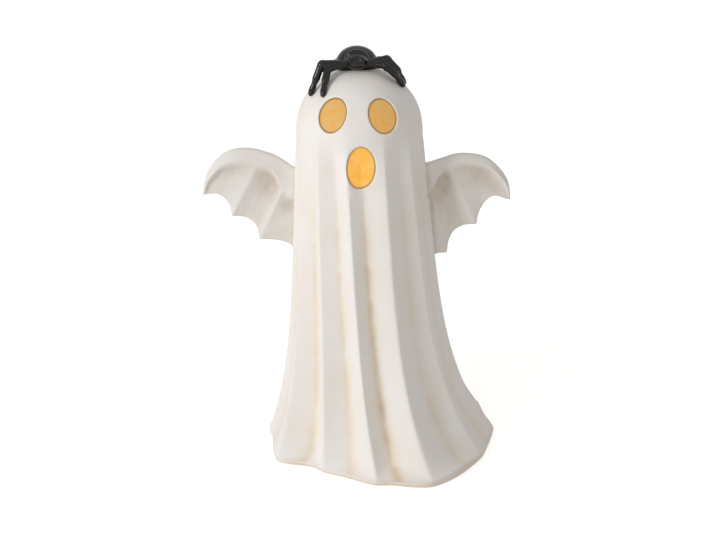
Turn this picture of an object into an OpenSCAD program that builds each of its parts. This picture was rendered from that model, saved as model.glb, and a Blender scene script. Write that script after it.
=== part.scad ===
// Lit ceramic ghost: a pleated sheet figure with bat wings and a spider on its head,
// cast hollow, standing on a slab that carries a battery box and a small lamp board.
// Millimetres, +Z up, the face towards -Y, the table at z = 0.

/* [Sheet body] */
// Height of the head's top above the table
figure_h = 381; // [340:1:420]
// Radius of the domed head
head_r = 59; // [54:1:64]
// Thickness of the cast wall
wall = 4.5; // [3.5:0.5:6]
// Growth of the body's radius from head to hem, without the flare
body_taper = 23; // [18:1:28]
// Extra radius of the hem, where the sheet sweeps out
hem_flare = 34; // [28:1:40]
// Sideways lean of the body's centre at the hem
hem_lean = 10.5; // [0:0.5:14]
// Extra sideways sweep of the hem
hem_trail = 10.5; // [0:0.5:14]

/* [Face] */
// Width of an eye opening
eye_w = 27.5; // [22:0.5:32]
// Height of an eye opening
eye_h = 33; // [26:0.5:38]
// Angle of the left eye's middle from straight ahead
left_eye_turn = -30; // [-34:0.5:-24]
// Angle of the right eye's middle from straight ahead
right_eye_turn = 25.5; // [22:0.5:34]
// Rise of both eyes above the head's middle, as an angle
eye_rise = 32.5; // [26:0.5:36]
// Width of the mouth opening
mouth_w = 28; // [22:0.5:32]
// Height of the mouth opening
mouth_h = 42; // [34:0.5:46]
// Height of the mouth's middle below the head's middle
mouth_drop = 15; // [13:0.5:20]
// Thickness of the light-passing panes behind the openings
pane_t = 2; // [1.5:0.1:3]
// Overlap of a pane with the wall all round its opening
pane_lap = 3; // [2:0.5:4]

/* [Wings] */
// Reach of a wing from the body's side to its tip
wing_span = 87; // [70:1:95]
// Height of a wing from its lowest root point to the top of its arm
wing_rise = 115; // [95:1:125]
// Height of the left wing's lowest root point above the table
left_wing_z = 187; // [175:1:200]
// Height of the right wing's lowest root point above the table
right_wing_z = 192; // [175:1:200]
// Middle plane of the left wing, behind the body's centre
left_wing_y = 4; // [-4:1:8]
// Middle plane of the right wing, behind the body's centre
right_wing_y = -1; // [-4:1:8]
// Width of the arm along a wing's leading edge
arm_w = 11.5; // [9:0.5:13]
// Thickness of that arm
arm_t = 12; // [9:0.5:14]
// Thickness of the web between the ribs
web_t = 5; // [4:0.5:7]
// Thickness of a rib
rib_t = 8; // [7.5:0.5:9]

/* [Spider] */
// Radius of the spider's round abdomen
abdomen_r = 19; // [15:0.5:21]
// Radius of the spider's head part
thorax_r = 9.5; // [8:0.5:11]
// Radius of a leg at its thickest
leg_r = 2.7; // [2.2:0.1:3.2]
// Radius of a foot
toe_r = 1.9; // [1.5:0.1:2.1]

/* [Base] */
// Thickness of the floor slab
slab_t = 5; // [4.5:0.5:7]
// Distance of the slab's edge inside the hem at a crest
slab_inset = 1; // [0.5:0.5:2]
// Thickness of the soft pads under the slab
pad_t = 1.2; // [1:0.1:2]
// Radius of a pad
pad_r = 6; // [4:0.5:8]

/* [Battery box] */
// Length of one cell
cell_l = 44.5; // [44:0.1:45]
// Diameter of one cell
cell_d = 10.5; // [10.2:0.1:10.6]
// Number of cells side by side
cell_count = 3; // [2:1:4]
// Wall of the moulded box
box_wall = 1.6; // [1.4:0.1:2]
// Width of the box's rim that lies in the slab
rim_w = 6; // [5:0.5:8]
// Thickness of the door and of the rim
door_t = 1.6; // [1.4:0.1:1.7]
// Radius of the hinge pins
hinge_pin_r = 0.9; // [0.8:0.05:0.95]
// Travel of the switch between on and off
switch_travel = 3; // [2:0.5:4]

/* [Lamp] */
// Radius of the lamp board
board_r = 17; // [15:0.5:20]
// Thickness of the lamp board
board_t = 1.6; // [1:0.1:2]
// Height of the posts under the board
post_h = 6; // [4:0.5:10]
// Radius of one lamp
lamp_r = 2.5; // [1.5:0.1:3]
// Height of one lamp
lamp_h = 7.5; // [6:0.5:9]
// Radius of the leads
lead_r = 0.6; // [0.5:0.05:0.8]

/* [Hidden] */

// Glue line between fired pieces
lute = 0.3;
// Gap round pieces that drop into a seat
seat_gap = 0.4;
// Radial clearance of the hinge pins
pin_gap = 0.06;
// Extra length of every cut
over = 1;

head_z = figure_h - head_r;
hem_z = pad_t + slab_t;
slab_z = pad_t;
drape_h = head_z - hem_z;

// The folds, anticlockwise seen from above, as angles from straight ahead at head and hem
fold_top_angles = [-88, -67, -40, -12, 22, 50, 84, 111, 138, 165, 192, 218, 245];
fold_hem_angles = [-83, -57, -33, -2, 24, 58, 82, 110, 138, 166, 192, 219, 248];
// How far each crest stands out at the hem
fold_reach_shares = [0.97, 1.06, 0.9, 0.955, 1.06, 1.01, 0.99, 0.93, 0.96, 1, 0.97, 0.99, 0.96];
// How deep the valley after each crest is
fold_valley_shares = [0.55, 0.9, 1, 1.1, 0.8, 0.6, 0.8, 1, 0.9, 1.1, 0.9, 1, 0.8];
// How much of that depth each valley has lost where it meets the floor slab
fold_fade_shares = [0.4, 0.3, 0.6, 0.75, 0.95, 0.8, 0.5, 0.5, 0.6, 0.5, 0.6, 0.5, 0.5];
// Where the columns of the surface lie between one crest and the next
fold_step_shares = [0, 0.1, 0.28, 0.5, 0.72, 0.9];
// Depth of a full valley under the head and its growth towards the hem
neck_valley_share = 0.05;
hem_valley_share = 0.07;
// Height over which the valleys set in, height from which they fade, and a crest's roundness
valley_start_share = 0.35;
fade_start_share = 0.8;
crest_round_share = 0.12;

// Wing outlines, as shares of the wing's span and rise. The arm runs from the root's top over
// the shoulder to the tip. The claws run from the root's foot out to the tip.
left_arm_shares = [[0, 0.83], [0.21, 0.94], [0.5, 1], [0.75, 0.955], [0.935, 0.785], [1, 0.585]];
left_claw_shares = [[0.075, 0], [0.4, 0.185], [0.69, 0.395], [1, 0.585]];
right_arm_shares = [[0, 0.84], [0.17, 0.885], [0.4, 0.93], [0.67, 0.885], [0.88, 0.71], [0.93, 0.52]];
right_claw_shares = [[0.12, 0], [0.26, 0.035], [0.575, 0.3], [0.93, 0.52]];
// The point of the arm, in steps of its table, at which each claw's rib starts
rib_starts = [0, 1, 2, 5];
wing_steps = [5, 6, 9];
// Rows across the arm, then rows across the web
arm_row_shares = [0, 0.1, 0.3, 0.55, 0.8, 1];
web_row_shares = [0.25, 0.5, 0.75, 1];
// How much of the wing's local depth the arm may take near the tip
arm_limit_share = 0.55;
// How far a rib's swelling spreads, how much the web is dished and how thin its edge is
rib_spread_share = 0.22;
dish_share = 0.3;
edge_share = 0.55;
tip_stop_share = 0.96;

// The head stands aside from the middle so that the two wing tips reach equally far
head_x = wing_span * (left_arm_shares[5][0] - right_arm_shares[5][0]) / 2;

folds = len(fold_top_angles);
steps = len(fold_step_shares);
columns = folds * steps;
body_rows = 20;
lining_rows = 8;
dome_rows = 9;
core_rows = 5;
oval_sides = 40;

function clamp(x) = min(1, max(0, x));
function ease(x) = clamp(x) ^ 2 * (3 - 2 * clamp(x));
function mix(a, b, k) = a + (b - a) * k;
function unit(v) = v / norm(v);

// A share t runs from 0 at the head's middle to 1 at the hem
function sheet_z(t) = head_z - drape_h * t;
function sheet_share(z) = (head_z - z) / drape_h;
function sheet_x(t) = head_x + hem_lean * t + hem_trail * t ^ 5;
function crest_r(t) = head_r + body_taper * t + hem_flare * t ^ 5;
function crest_angle(k, t) =
  mix(fold_top_angles[k % folds], fold_hem_angles[k % folds], t) + 360 * floor(k / folds);

// Round in the valley, crisp at the crest
function pleat(u) =
  (sqrt(sin(180 * u) ^ 2 + crest_round_share ^ 2) - crest_round_share)
  / (sqrt(1 + crest_round_share ^ 2) - crest_round_share);
function reach(k, u, t) =
  1 + (mix(fold_reach_shares[k % folds], fold_reach_shares[(k + 1) % folds], ease(u)) - 1) * t ^ 2;
function valley(k, u, t) =
  (neck_valley_share * ease(t / valley_start_share) + hem_valley_share * t ^ 1.5)
  * fold_valley_shares[k % folds] * pleat(u)
  * (1 - fold_fade_shares[k % folds] * ease((t - fade_start_share) / (1 - fade_start_share)));
function sheet_r(k, u, t) = crest_r(t) * reach(k, u, t) * (1 - valley(k, u, t));

function on_ring(x, r, a, z) = [x + r * sin(a), -r * cos(a), z];
function fold_of(c) = floor(c / steps);
function share_of(c) = fold_step_shares[c % steps];
function column_angle(c, t) =
  mix(crest_angle(fold_of(c), t), crest_angle(fold_of(c) + 1, t), share_of(c));

// One ring of the sheet, set in or out from its outer face
function sheet_ring(t, off) = [
  for (c = [0 : columns - 1])
    on_ring(sheet_x(t), sheet_r(fold_of(c), share_of(c), t) + off, column_angle(c, t), sheet_z(t))
];
function dome_ring(a, off) = [
  for (c = [0 : columns - 1])
    on_ring(head_x, (head_r + off) * cos(a), column_angle(c, 0), head_z + (head_r + off) * sin(a))
];

// The slab follows the hem, and fills part of each valley
slab_fill_share = 0.35;
function slab_r(c) =
  let (k = fold_of(c), u = share_of(c))
  mix(sheet_r(k, u, 1), crest_r(1) * reach(k, u, 1), slab_fill_share) - slab_inset;

// Faces that join each ring of n points to the next
function band_faces(n, rings) = [
  for (r = [0 : rings - 2], c = [0 : n - 1], side = [0, 1])
    let (a = r * n + c, b = r * n + (c + 1) % n)
      side == 0 ? [a, a + n, b + n] : [a, b + n, b]
];

module ghost_body() {
  outer = [
    for (i = [0 : body_rows]) sheet_ring(1 - i / body_rows, 0),
    for (i = [1 : dome_rows - 1]) dome_ring(90 * i / dome_rows, 0)
  ];
  lining = [
    for (i = [dome_rows - 1 : -1 : 1]) dome_ring(90 * i / dome_rows, -wall),
    for (i = [0 : lining_rows]) sheet_ring(i / lining_rows, -wall)
  ];
  rings_out = len(outer);
  rings_in = len(lining);
  top = columns * rings_out;
  points = [
    for (ring = outer) each ring,
    [head_x, 0, head_z + head_r],
    for (ring = lining) each ring,
    [head_x, 0, head_z + head_r - wall]
  ];
  first_in = top + 1;
  last_in = first_in + columns * (rings_in - 1);
  faces = [
    each band_faces(columns, rings_out),
    for (c = [0 : columns - 1]) [top - columns + c, top, top - columns + (c + 1) % columns],
    for (f = band_faces(columns, rings_in)) [for (i = f) i + first_in],
    for (c = [0 : columns - 1]) [first_in + (c + 1) % columns, len(points) - 1, first_in + c],
    for (c = [0 : columns - 1], side = [0, 1])
      let (d = (c + 1) % columns)
        side == 0 ? [last_in + c, c, d] : [last_in + c, d, last_in + d]
  ];
  polyhedron(points, faces, convexity = 8);
}

// Turns +Z to look out at an angle from straight ahead and a rise above level
module aim(turn, rise) {
  rotate([0, 0, turn]) rotate([90 - rise, 0, 0]) children();
}

// A flat oval, as a ring of points
module oval(w, h) {
  polygon([
    for (i = [0 : oval_sides - 1])
      let (a = 360 * i / oval_sides) [w / 2 * cos(a), h / 2 * sin(a)]
  ]);
}

module eye_prism(turn, from, to, grow) {
  translate([head_x, 0, head_z])
    aim(turn, eye_rise)
      translate([0, 0, from])
        linear_extrude(to - from) oval(eye_w + 2 * grow, eye_h + 2 * grow);
}

module mouth_prism(from, to, grow) {
  translate([head_x, 0, head_z - mouth_drop])
    aim(0, 0)
      translate([0, 0, from])
        linear_extrude(to - from) oval(mouth_w + 2 * grow, mouth_h + 2 * grow);
}

module ghost_shell() {
  cut_from = head_r - 2 * wall;
  cut_to = head_r + body_taper;
  color("white")
    difference() {
      ghost_body();
      eye_prism(left_eye_turn, cut_from, cut_to, 0);
      eye_prism(right_eye_turn, cut_from, cut_to, 0);
      mouth_prism(cut_from, cut_to, 0);
    }
}

// A pane behind an eye follows the inside of the round head
module eye_pane(turn) {
  pane_r = head_r - wall - lute;
  color("orange")
    intersection() {
      difference() {
        translate([head_x, 0, head_z]) sphere(r = pane_r, $fn = 96);
        translate([head_x, 0, head_z]) sphere(r = pane_r - pane_t, $fn = 96);
      }
      eye_prism(turn, pane_r / 2, head_r, pane_lap);
    }
}

module left_eye_pane() { eye_pane(left_eye_turn); }
module right_eye_pane() { eye_pane(right_eye_turn); }

// The mouth's pane follows the wall down from the head
module mouth_pane() {
  lining_r = head_r - wall - lute;
  half_h = mouth_h / 2 + pane_lap;
  top_z = head_z - mouth_drop + half_h;
  low_z = head_z - mouth_drop - half_h;
  low_t = sheet_share(low_z);
  top_r = sqrt((head_r - wall) ^ 2 - (top_z - head_z) ^ 2) - lute;
  low_r = crest_r(low_t) * (1 - valley(3, 0.5, low_t)) - wall - lute;
  color("orange")
    intersection() {
      translate([head_x, 0, 0]) rotate_extrude($fn = 96)
        polygon([
          [low_r - pane_t, low_z], [low_r, low_z], [lining_r, head_z], [top_r, top_z],
          [top_r - pane_t, top_z], [lining_r - pane_t, head_z]
        ]);
      mouth_prism(head_r / 2, 2 * head_r, pane_lap);
    }
}

// A smooth curve through the points of a table
function curve(p, s) =
  let (
    i = min(floor(s), len(p) - 2),
    u = s - i,
    a = p[max(i - 1, 0)],
    b = p[i],
    c = p[i + 1],
    d = p[min(i + 2, len(p) - 1)]
  )
  (2 * b + (c - a) * u + (2 * a - 5 * b + 4 * c - d) * u ^ 2 + (3 * b - a - 3 * c + d) * u ^ 3) / 2;

// A scallop is a quarter of an oval from one claw out to the next
function scallop(p, j, u) = [
  p[j + 1][0] - (p[j + 1][0] - p[j][0]) * cos(90 * u),
  p[j][1] + (p[j + 1][1] - p[j][1]) * sin(90 * u)
];

function half_arm(s) = arm_t / 2 * sqrt(max(0, 1 - (1 - 2 * s) ^ 2));
function web_half(j, u, v) =
  let (near = min(j == 0 ? 1 : u, 1 - u))
  mix(web_t / 2 * (1 - dish_share * sin(180 * u) * sin(180 * v)), rib_t / 2,
    ease(1 - near / rib_spread_share))
  * (v == 1 ? edge_share : 1);

// One section of a wing, from the leading edge over the front, and back behind
function wing_loop(arm, claws, j, u, size) =
  let (
    lead = curve(arm, mix(rib_starts[j], rib_starts[j + 1], u)),
    trail = scallop(claws, j, u),
    a = [lead[0] * size[0], lead[1] * size[1]],
    b = [trail[0] * size[0], trail[1] * size[1]],
    depth = norm(b - a),
    arm_depth = min(arm_w, depth * arm_limit_share),
    slim = arm_depth / arm_w,
    rows = [
      for (s = arm_row_shares)
        [s * arm_depth / depth,
         s < 0.5 ? half_arm(s) * slim : max(half_arm(s) * slim, web_half(j, u, 0) * slim)],
      for (v = web_row_shares)
        [mix(arm_depth / depth, 1, v), web_half(j, u, v) * slim]
    ],
    n = len(rows)
  )
  [
    for (r = rows) let (p = mix(a, b, r[0])) [p[0], -r[1], p[1]],
    for (i = [n - 1 : -1 : 1]) let (p = mix(a, b, rows[i][0])) [p[0], rows[i][1], p[1]]
  ];

module wing_blank(arm, claws) {
  size = [wing_span, wing_rise];
  loops = [
    for (j = [0 : 2], i = [0 : wing_steps[j] - 1])
      wing_loop(arm, claws, j, i / wing_steps[j], size),
    wing_loop(arm, claws, 2, tip_stop_share, size)
  ];
  n = len(loops[0]);
  root = [for (p = loops[0]) [p[0] - 2 * wall, p[1], p[2]]];
  rings = [root, each loops];
  tip = arm[len(arm) - 1];
  points = [for (ring = rings) each ring, [tip[0] * size[0], 0, tip[1] * size[1]]];
  last = n * (len(rings) - 1);
  half = (n - 1) / 2;
  faces = [
    each band_faces(n, len(rings)),
    for (c = [0 : n - 1]) [last + c, len(points) - 1, last + (c + 1) % n],
    [0, 1, n - 1],
    for (i = [1 : half - 1]) each [[i, i + 1, n - i], [n - i, i + 1, n - i - 1]]
  ];
  polyhedron(points, faces, convexity = 8);
}

module sheet_core(off, t0, t1, rows) {
  rings = [for (i = [0 : rows]) sheet_ring(mix(t0, t1, i / rows), off)];
  last = columns * rows;
  polyhedron(
    [for (ring = rings) each ring],
    [
      each band_faces(columns, rows + 1),
      [for (c = [0 : columns - 1]) c],
      [for (c = [columns - 1 : -1 : 0]) last + c]
    ],
    convexity = 6
  );
}

// A wing stands on the body's side and is trimmed to the folds there
module wing(arm, claws, side, y, z) {
  color("white")
    difference() {
      translate([head_x + side * (head_r + wall / 2), y, z])
        mirror([side < 0 ? 1 : 0, 0, 0])
          wing_blank(arm, claws);
      sheet_core(lute, sheet_share(z - 4 * wall), 0, core_rows);
    }
}

module left_wing() { wing(left_arm_shares, left_claw_shares, -1, left_wing_y, left_wing_z); }
module right_wing() { wing(right_arm_shares, right_claw_shares, 1, right_wing_y, right_wing_z); }

// The floor slab, with a window for the battery box and a step for its rim
module slab_outline() {
  polygon([
    for (c = [0 : columns - 1])
      let (p = on_ring(sheet_x(1), slab_r(c), column_angle(c, 1), 0)) [p[0], p[1]]
  ]);
}

// A rectangle from one corner to the other, with round corners
module round_plate(from, to, r) {
  translate([from[0] + r, from[1]]) square([to[0] - from[0] - 2 * r, to[1] - from[1]]);
  translate([from[0], from[1] + r]) square([to[0] - from[0], to[1] - from[1] - 2 * r]);
  for (x = [from[0] + r, to[0] - r], y = [from[1] + r, to[1] - r])
    translate([x, y]) circle(r = r, $fn = 48);
}

module base_slab() {
  color("tan")
    difference() {
      translate([0, 0, slab_z]) linear_extrude(slab_t) slab_outline();
      translate([0, 0, slab_z - over])
        linear_extrude(slab_t + 2 * over)
          round_plate(box_from - grow2(seat_gap), box_to + grow2(seat_gap), box_corner_r + seat_gap);
      translate([0, 0, slab_z - over])
        linear_extrude(door_t + over)
          round_plate(rim_from - grow2(seat_gap), rim_to + grow2(seat_gap), rim_corner_r + seat_gap);
    }
}

module foot_pads() {
  ring_r = crest_r(1) * min(fold_reach_shares) - slab_inset - 2 * pad_r;
  color("dimgray")
    for (a = [45 : 90 : 315])
      translate(on_ring(sheet_x(1), ring_r, a, 0)) cylinder(r = pad_r, h = pad_t, $fn = 48);
}

// The battery box hangs in the slab's window with its rim flush with the slab's underside
cell_gap = 0.8;
cell_rest = 0.3;
spring_l = 6;
plate_t = 0.5;
nub_r = 1.9;
nub_l = 0.8;
box_corner_r = 3;
rim_corner_r = 6;
barrel_r = door_t;
plate_w = 8;
tab_w = 3;
switch_l = 10;
switch_w = 5;
switch_wall = 0.8;
slider_h = 1.2;
slider_gap = 0.3;
knob_stem_l = 2.5;
knob_stem_w = 2;
knob_out = 0.6;
lead_gap = 0.4;

cell_pitch = cell_d + cell_gap;
bay_l = cell_l + spring_l + 2 * plate_t;
bay_w = cell_count * cell_pitch + cell_gap;
hinge_l = 2 * barrel_r + 2 * seat_gap;
switch_bay_l = switch_w + 2 * seat_gap + box_wall;
box_l = 4 * box_wall + hinge_l + bay_l + switch_bay_l;
box_from = [sheet_x(1) - box_l / 2, -bay_w / 2 - box_wall];
box_to = [sheet_x(1) + box_l / 2, bay_w / 2 + box_wall];
rim_from = box_from - grow2(rim_w);
rim_to = box_to + grow2(rim_w);
hinge_x = box_from[0] + box_wall + seat_gap + barrel_r;
hinge_z = slab_z + barrel_r;
hinge_pin_l = box_wall - seat_gap;
bay_x = box_from[0] + 2 * box_wall + hinge_l;
switch_bay_x = bay_x + bay_l + box_wall;
switch_x = switch_bay_x + seat_gap + switch_w / 2;
bay_floor = slab_z + door_t + cell_rest;
cell_z = bay_floor + cell_d / 2;
bay_top = bay_floor + cell_d + cell_gap;
tab_z = bay_top - cell_gap - tab_w;
roof_z = bay_top + box_wall;
board_z = roof_z + post_h;
board_x = bay_x + bay_l / 2;
screw_r = 0.95;
screw_l = 5.5;
screw_head_r = 1.9;
screw_head_h = 1.4;
screw_gap = 0.05;
post_r = 3;
post_y = board_r - post_r - box_wall;

function grow2(d) = [d, d];
function cell_y(i) = (i - (cell_count - 1) / 2) * cell_pitch;
// The cells lie head to tail: the first has its nub at +X
function nub_side(i) = i % 2 == 0 ? 1 : -1;
// The switch stands at the end of the first cell, where that cell's plate reaches it
switch_y = cell_y(0);
slider_l = switch_l - 2 * switch_wall - switch_travel - 2 * slider_gap;

module box_cut(x0, l, w, z0, z1) {
  translate([x0, -w / 2, z0]) cube([l, w, z1 - z0]);
}

// A cylinder along Y, centred on the middle of the box
module cross_rod(x, z, r, l) {
  translate([x, l / 2, z]) rotate([90, 0, 0]) cylinder(r = r, h = l, $fn = 48);
}

module battery_box() {
  color("dimgray")
    difference() {
      union() {
        translate([0, 0, slab_z]) linear_extrude(door_t) round_plate(rim_from, rim_to, rim_corner_r);
        translate([0, 0, slab_z])
          linear_extrude(roof_z - slab_z) round_plate(box_from, box_to, box_corner_r);
        for (y = [-post_y, post_y])
          translate([board_x, y, roof_z - box_wall / 2])
            cylinder(r = post_r, h = post_h + box_wall / 2, $fn = 48);
      }
      // Room for the door, its hinge, the cells and the switch
      box_cut(bay_x - box_wall - hinge_l, bay_l + box_wall + hinge_l, bay_w, slab_z - over, bay_floor);
      box_cut(bay_x - box_wall - hinge_l, hinge_l, bay_w, slab_z, hinge_z + barrel_r + seat_gap);
      box_cut(bay_x, bay_l, bay_w, slab_z, bay_top);
      box_cut(switch_bay_x, switch_bay_l, bay_w, slab_z + door_t, roof_z + over);
      // The knob's slot, the tab's slot and the hole for the red lead
      translate([0, switch_y, 0])
        box_cut(switch_x - knob_stem_w / 2 - seat_gap, knob_stem_w + 2 * seat_gap,
          knob_stem_l + switch_travel + 2 * seat_gap, slab_z - over, slab_z + door_t + over);
      translate([bay_x + bay_l - over, cell_y(0) - tab_w / 2 - seat_gap, tab_z - seat_gap])
        cube([box_wall + 2 * over, tab_w + 2 * seat_gap, plate_t + 2 * seat_gap]);
      translate([red_start[0], red_start[1], bay_top - over])
        cylinder(r = lead_r + lead_gap, h = box_wall + 2 * over, $fn = 32);
      cross_rod(hinge_x, hinge_z, hinge_pin_r + pin_gap, bay_w + 2 * hinge_pin_l + 2 * pin_gap);
      for (y = [-post_y, post_y])
        translate([board_x, y, board_z - screw_l])
          cylinder(r = screw_r + screw_gap, h = screw_l + over, $fn = 32);
    }
}

// The door turns about pins at the left end of the box and opens downwards
module battery_door() {
  door_w = bay_w - 2 * seat_gap;
  door_end = bay_x + bay_l - seat_gap;
  notch_r = door_w / 4;
  color("dimgray")
    difference() {
      union() {
        translate([hinge_x, -door_w / 2, slab_z]) cube([door_end - hinge_x, door_w, door_t]);
        cross_rod(hinge_x, hinge_z, barrel_r, door_w);
        cross_rod(hinge_x, hinge_z, hinge_pin_r, bay_w + 2 * hinge_pin_l);
      }
      // A hollow for the fingertip at the free edge
      translate([door_end, 0, slab_z - over]) cylinder(r = notch_r, h = over + door_t / 2, $fn = 64);
    }
}

module battery_cells() {
  color("silver")
    for (i = [0 : cell_count - 1])
      translate([bay_x + plate_t + (nub_side(i) > 0 ? spring_l : 0) + cell_l / 2, cell_y(i), cell_z])
        rotate([0, 90 * nub_side(i), 0]) {
          translate([0, 0, -cell_l / 2]) cylinder(r = cell_d / 2, h = cell_l - nub_l, $fn = 64);
          translate([0, 0, cell_l / 2 - nub_l - nub_l]) cylinder(r = nub_r, h = 2 * nub_l, $fn = 48);
        }
}

// A tube swept along points, with a radius at each point
function along(p, i) = unit(p[min(i + 1, len(p) - 1)] - p[max(i - 1, 0)]);
function carried(p, i, v) =
  i == len(p) ? []
  : let (t = along(p, i), w = unit(v - (v * t) * t)) [w, each carried(p, i + 1, w)];

module tube(path, radii, sides, up) {
  across = carried(path, 0, up);
  count = len(path);
  points = [
    for (i = [0 : count - 1], k = [0 : sides - 1])
      let (t = along(path, i), a = 360 * k / sides)
      path[i] + radii[i] * (cos(a) * across[i] + sin(a) * cross(t, across[i]))
  ];
  last = sides * (count - 1);
  polyhedron(
    points,
    [
      each band_faces(sides, count),
      [for (k = [0 : sides - 1]) k],
      [for (k = [sides - 1 : -1 : 0]) last + k]
    ],
    convexity = 6
  );
}

// Each spring is a tapering coil between its plate and the flat end of its cell
wire_r = 0.35;
coil_turns = 3.5;
coil_wide_r = 3.6;
coil_slim_r = 2.2;
rings_a_turn = 8;

function coil_path() =
  let (n = coil_turns * rings_a_turn, rise = spring_l - 4 * wire_r)
  [
    [0, 0, coil_wide_r],
    for (i = [0 : n])
      let (a = 360 * i / rings_a_turn, r = mix(coil_wide_r, coil_slim_r, i / n))
      [2 * wire_r + rise * i / n, r * sin(a), r * cos(a)],
    [spring_l, 0, coil_slim_r * cos(360 * coil_turns)]
  ];

// Least clear distance between points of the wire that lie half a turn or more apart
function least_gap(p, apart, r) =
  min([for (i = [0 : len(p) - 1], j = [i + apart : len(p) - 1]) norm(p[i] - p[j])]) - 2 * r;
echo(spring_least_gap = least_gap(coil_path(), rings_a_turn / 2, wire_r));

module contact_springs() {
  path = coil_path();
  color("silver")
    for (i = [0 : cell_count - 1])
      translate([
        nub_side(i) > 0 ? bay_x + plate_t : bay_x + bay_l - plate_t, cell_y(i), cell_z
      ])
        rotate([0, 0, nub_side(i) > 0 ? 0 : 180])
          tube(path, [for (p = path) wire_r], 6, [0, 1, 0]);
}

// The plates join neighbours in pairs, so that the cells run in series
module contact_plates() {
  color("silver") {
    for (end = [0, 1], i = [-end : 2 : cell_count - 1]) {
      first = max(i, 0);
      last = min(i + 1, cell_count - 1);
      translate([
        end == 0 ? bay_x : bay_x + bay_l - plate_t, cell_y(first) - plate_w / 2, bay_floor + cell_gap
      ])
        cube([plate_t, cell_y(last) - cell_y(first) + plate_w, bay_top - bay_floor - cell_gap]);
    }
    translate([bay_x + bay_l - plate_t, cell_y(0) - tab_w / 2, tab_z])
      cube([plate_t + box_wall + seat_gap, tab_w, plate_t]);
  }
}

// The slide switch stands on the rim beyond the door, with its knob in a slot
module switch_body() {
  z0 = slab_z + door_t;
  color("gray")
    translate([0, switch_y, 0])
      difference() {
        box_cut(switch_x - switch_w / 2, switch_w, switch_l, z0, tab_z + plate_t);
        box_cut(switch_x - switch_w / 2 + switch_wall, switch_w - 2 * switch_wall,
          switch_l - 2 * switch_wall, z0 + switch_wall, z0 + switch_wall + slider_h + 2 * slider_gap);
        box_cut(switch_x - knob_stem_w / 2 - slider_gap, knob_stem_w + 2 * slider_gap,
          knob_stem_l + switch_travel + 2 * slider_gap, z0 - over, z0 + switch_wall + over);
      }
}

// Drawn in the on position, at the +Y end of its travel
module switch_knob() {
  z0 = slab_z + door_t + switch_wall + slider_gap;
  slider_w = switch_w - 2 * switch_wall - 2 * slider_gap;
  color("black")
    translate([0, switch_y + switch_travel / 2, 0]) {
      box_cut(switch_x - slider_w / 2, slider_w, slider_l, z0, z0 + slider_h);
      box_cut(switch_x - knob_stem_w / 2, knob_stem_w, knob_stem_l, slab_z - knob_out, z0 + slider_h);
    }
}

module led_board() {
  color("seagreen")
    difference() {
      translate([board_x, 0, board_z]) cylinder(r = board_r, h = board_t, $fn = 96);
      for (y = [-post_y, post_y])
        translate([board_x, y, board_z - over])
          cylinder(r = screw_r + 2 * screw_gap, h = board_t + 2 * over, $fn = 32);
    }
}

lamp_circle_share = 0.45;
lamp_collar_share = 1.16;

module led_lamps() {
  color("khaki")
    for (a = [90 : 120 : 330])
      translate(on_ring(board_x, board_r * lamp_circle_share, a, board_z + board_t)) {
        cylinder(r = lamp_r * lamp_collar_share, h = lamp_r / 2, $fn = 48);
        cylinder(r = lamp_r, h = lamp_h - lamp_r, $fn = 48);
        translate([0, 0, lamp_h - lamp_r]) sphere(r = lamp_r, $fn = 48);
      }
}

module board_screws() {
  color("silver")
    for (y = [-post_y, post_y])
      translate([board_x, y, board_z + board_t]) {
        cylinder(r = screw_head_r, h = screw_head_h, $fn = 48);
        translate([0, 0, -screw_l]) cylinder(r = screw_r, h = screw_l + screw_head_h / 2, $fn = 32);
      }
}

// The leads rise from the box and meet the underside of the board, both ends upright
red_start = [bay_x + plate_t / 2, cell_y(cell_count - 1), bay_top];
black_start = [switch_x, switch_y, tab_z + plate_t];
lead_pad_share = 0.7;
lead_bend_shares = [0.5, 0.6];
lead_points = 4;

function lead_path(start, side) =
  let (
    foot = [board_x + side * board_r * lead_pad_share, 0, board_z],
    low = [start[0], start[1], roof_z + post_h / 4],
    near = [
      mix(start[0], foot[0], lead_bend_shares[0]), mix(start[1], foot[1], lead_bend_shares[1]),
      roof_z + post_h / 3
    ],
    p = [start, low, near, foot - [0, 0, post_h / 4], foot]
  )
  [start, for (s = [1 : 1 / lead_points : len(p) - 2]) curve(p, s), foot];

module lead(start, side) {
  path = lead_path(start, side);
  tube(path, [for (p = path) lead_r], 8, [0, 1, 0]);
}

module red_lead() { color("red") lead(red_start, -1); }
module black_lead() { color("black") lead(black_start, 1); }

// The spider sits on the head's top. Its legs are given as angles about the head's middle:
// turns from straight ahead, falls from the top and heights as shares of the abdomen's radius.
abdomen_back_share = 0.63;
thorax_rise_share = 0.5;
leg_turns = [
  [-76, -72, -63, -55], [-80, -82, -81, -80], [-100, -105, -108, -110], [-125, -135, -140, -142],
  [82, 90, 94, 98], [84, 95, 101, 112], [110, 120, 128, 135], [130, 145, 152, 158]
];
leg_falls = [
  [25, 34, 44], [28, 38, 51], [27, 37, 48], [27, 37, 46],
  [20, 33, 47], [20, 31, 44], [27, 37, 48], [27, 37, 46]
];
leg_height_shares = [
  [0.42, 0.26], [0.55, 0.38], [0.55, 0.36], [0.55, 0.36],
  [0.25, 0.2], [0.62, 0.4], [0.6, 0.38], [0.55, 0.36]
];
leg_knee_share = 0.6;
leg_rings_share = 0.5;

function on_head(turn, fall, h) =
  [head_x, 0, head_z] + (head_r + h) * [sin(fall) * sin(turn), -sin(fall) * cos(turn), cos(fall)];

abdomen_at = [
  head_x - thorax_r / 4, abdomen_r * abdomen_back_share,
  head_z + sqrt(head_r ^ 2 - (abdomen_r * abdomen_back_share) ^ 2)
];
thorax_at = [head_x - thorax_r / 4, -thorax_r / 4, head_z + head_r + thorax_r];

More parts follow.
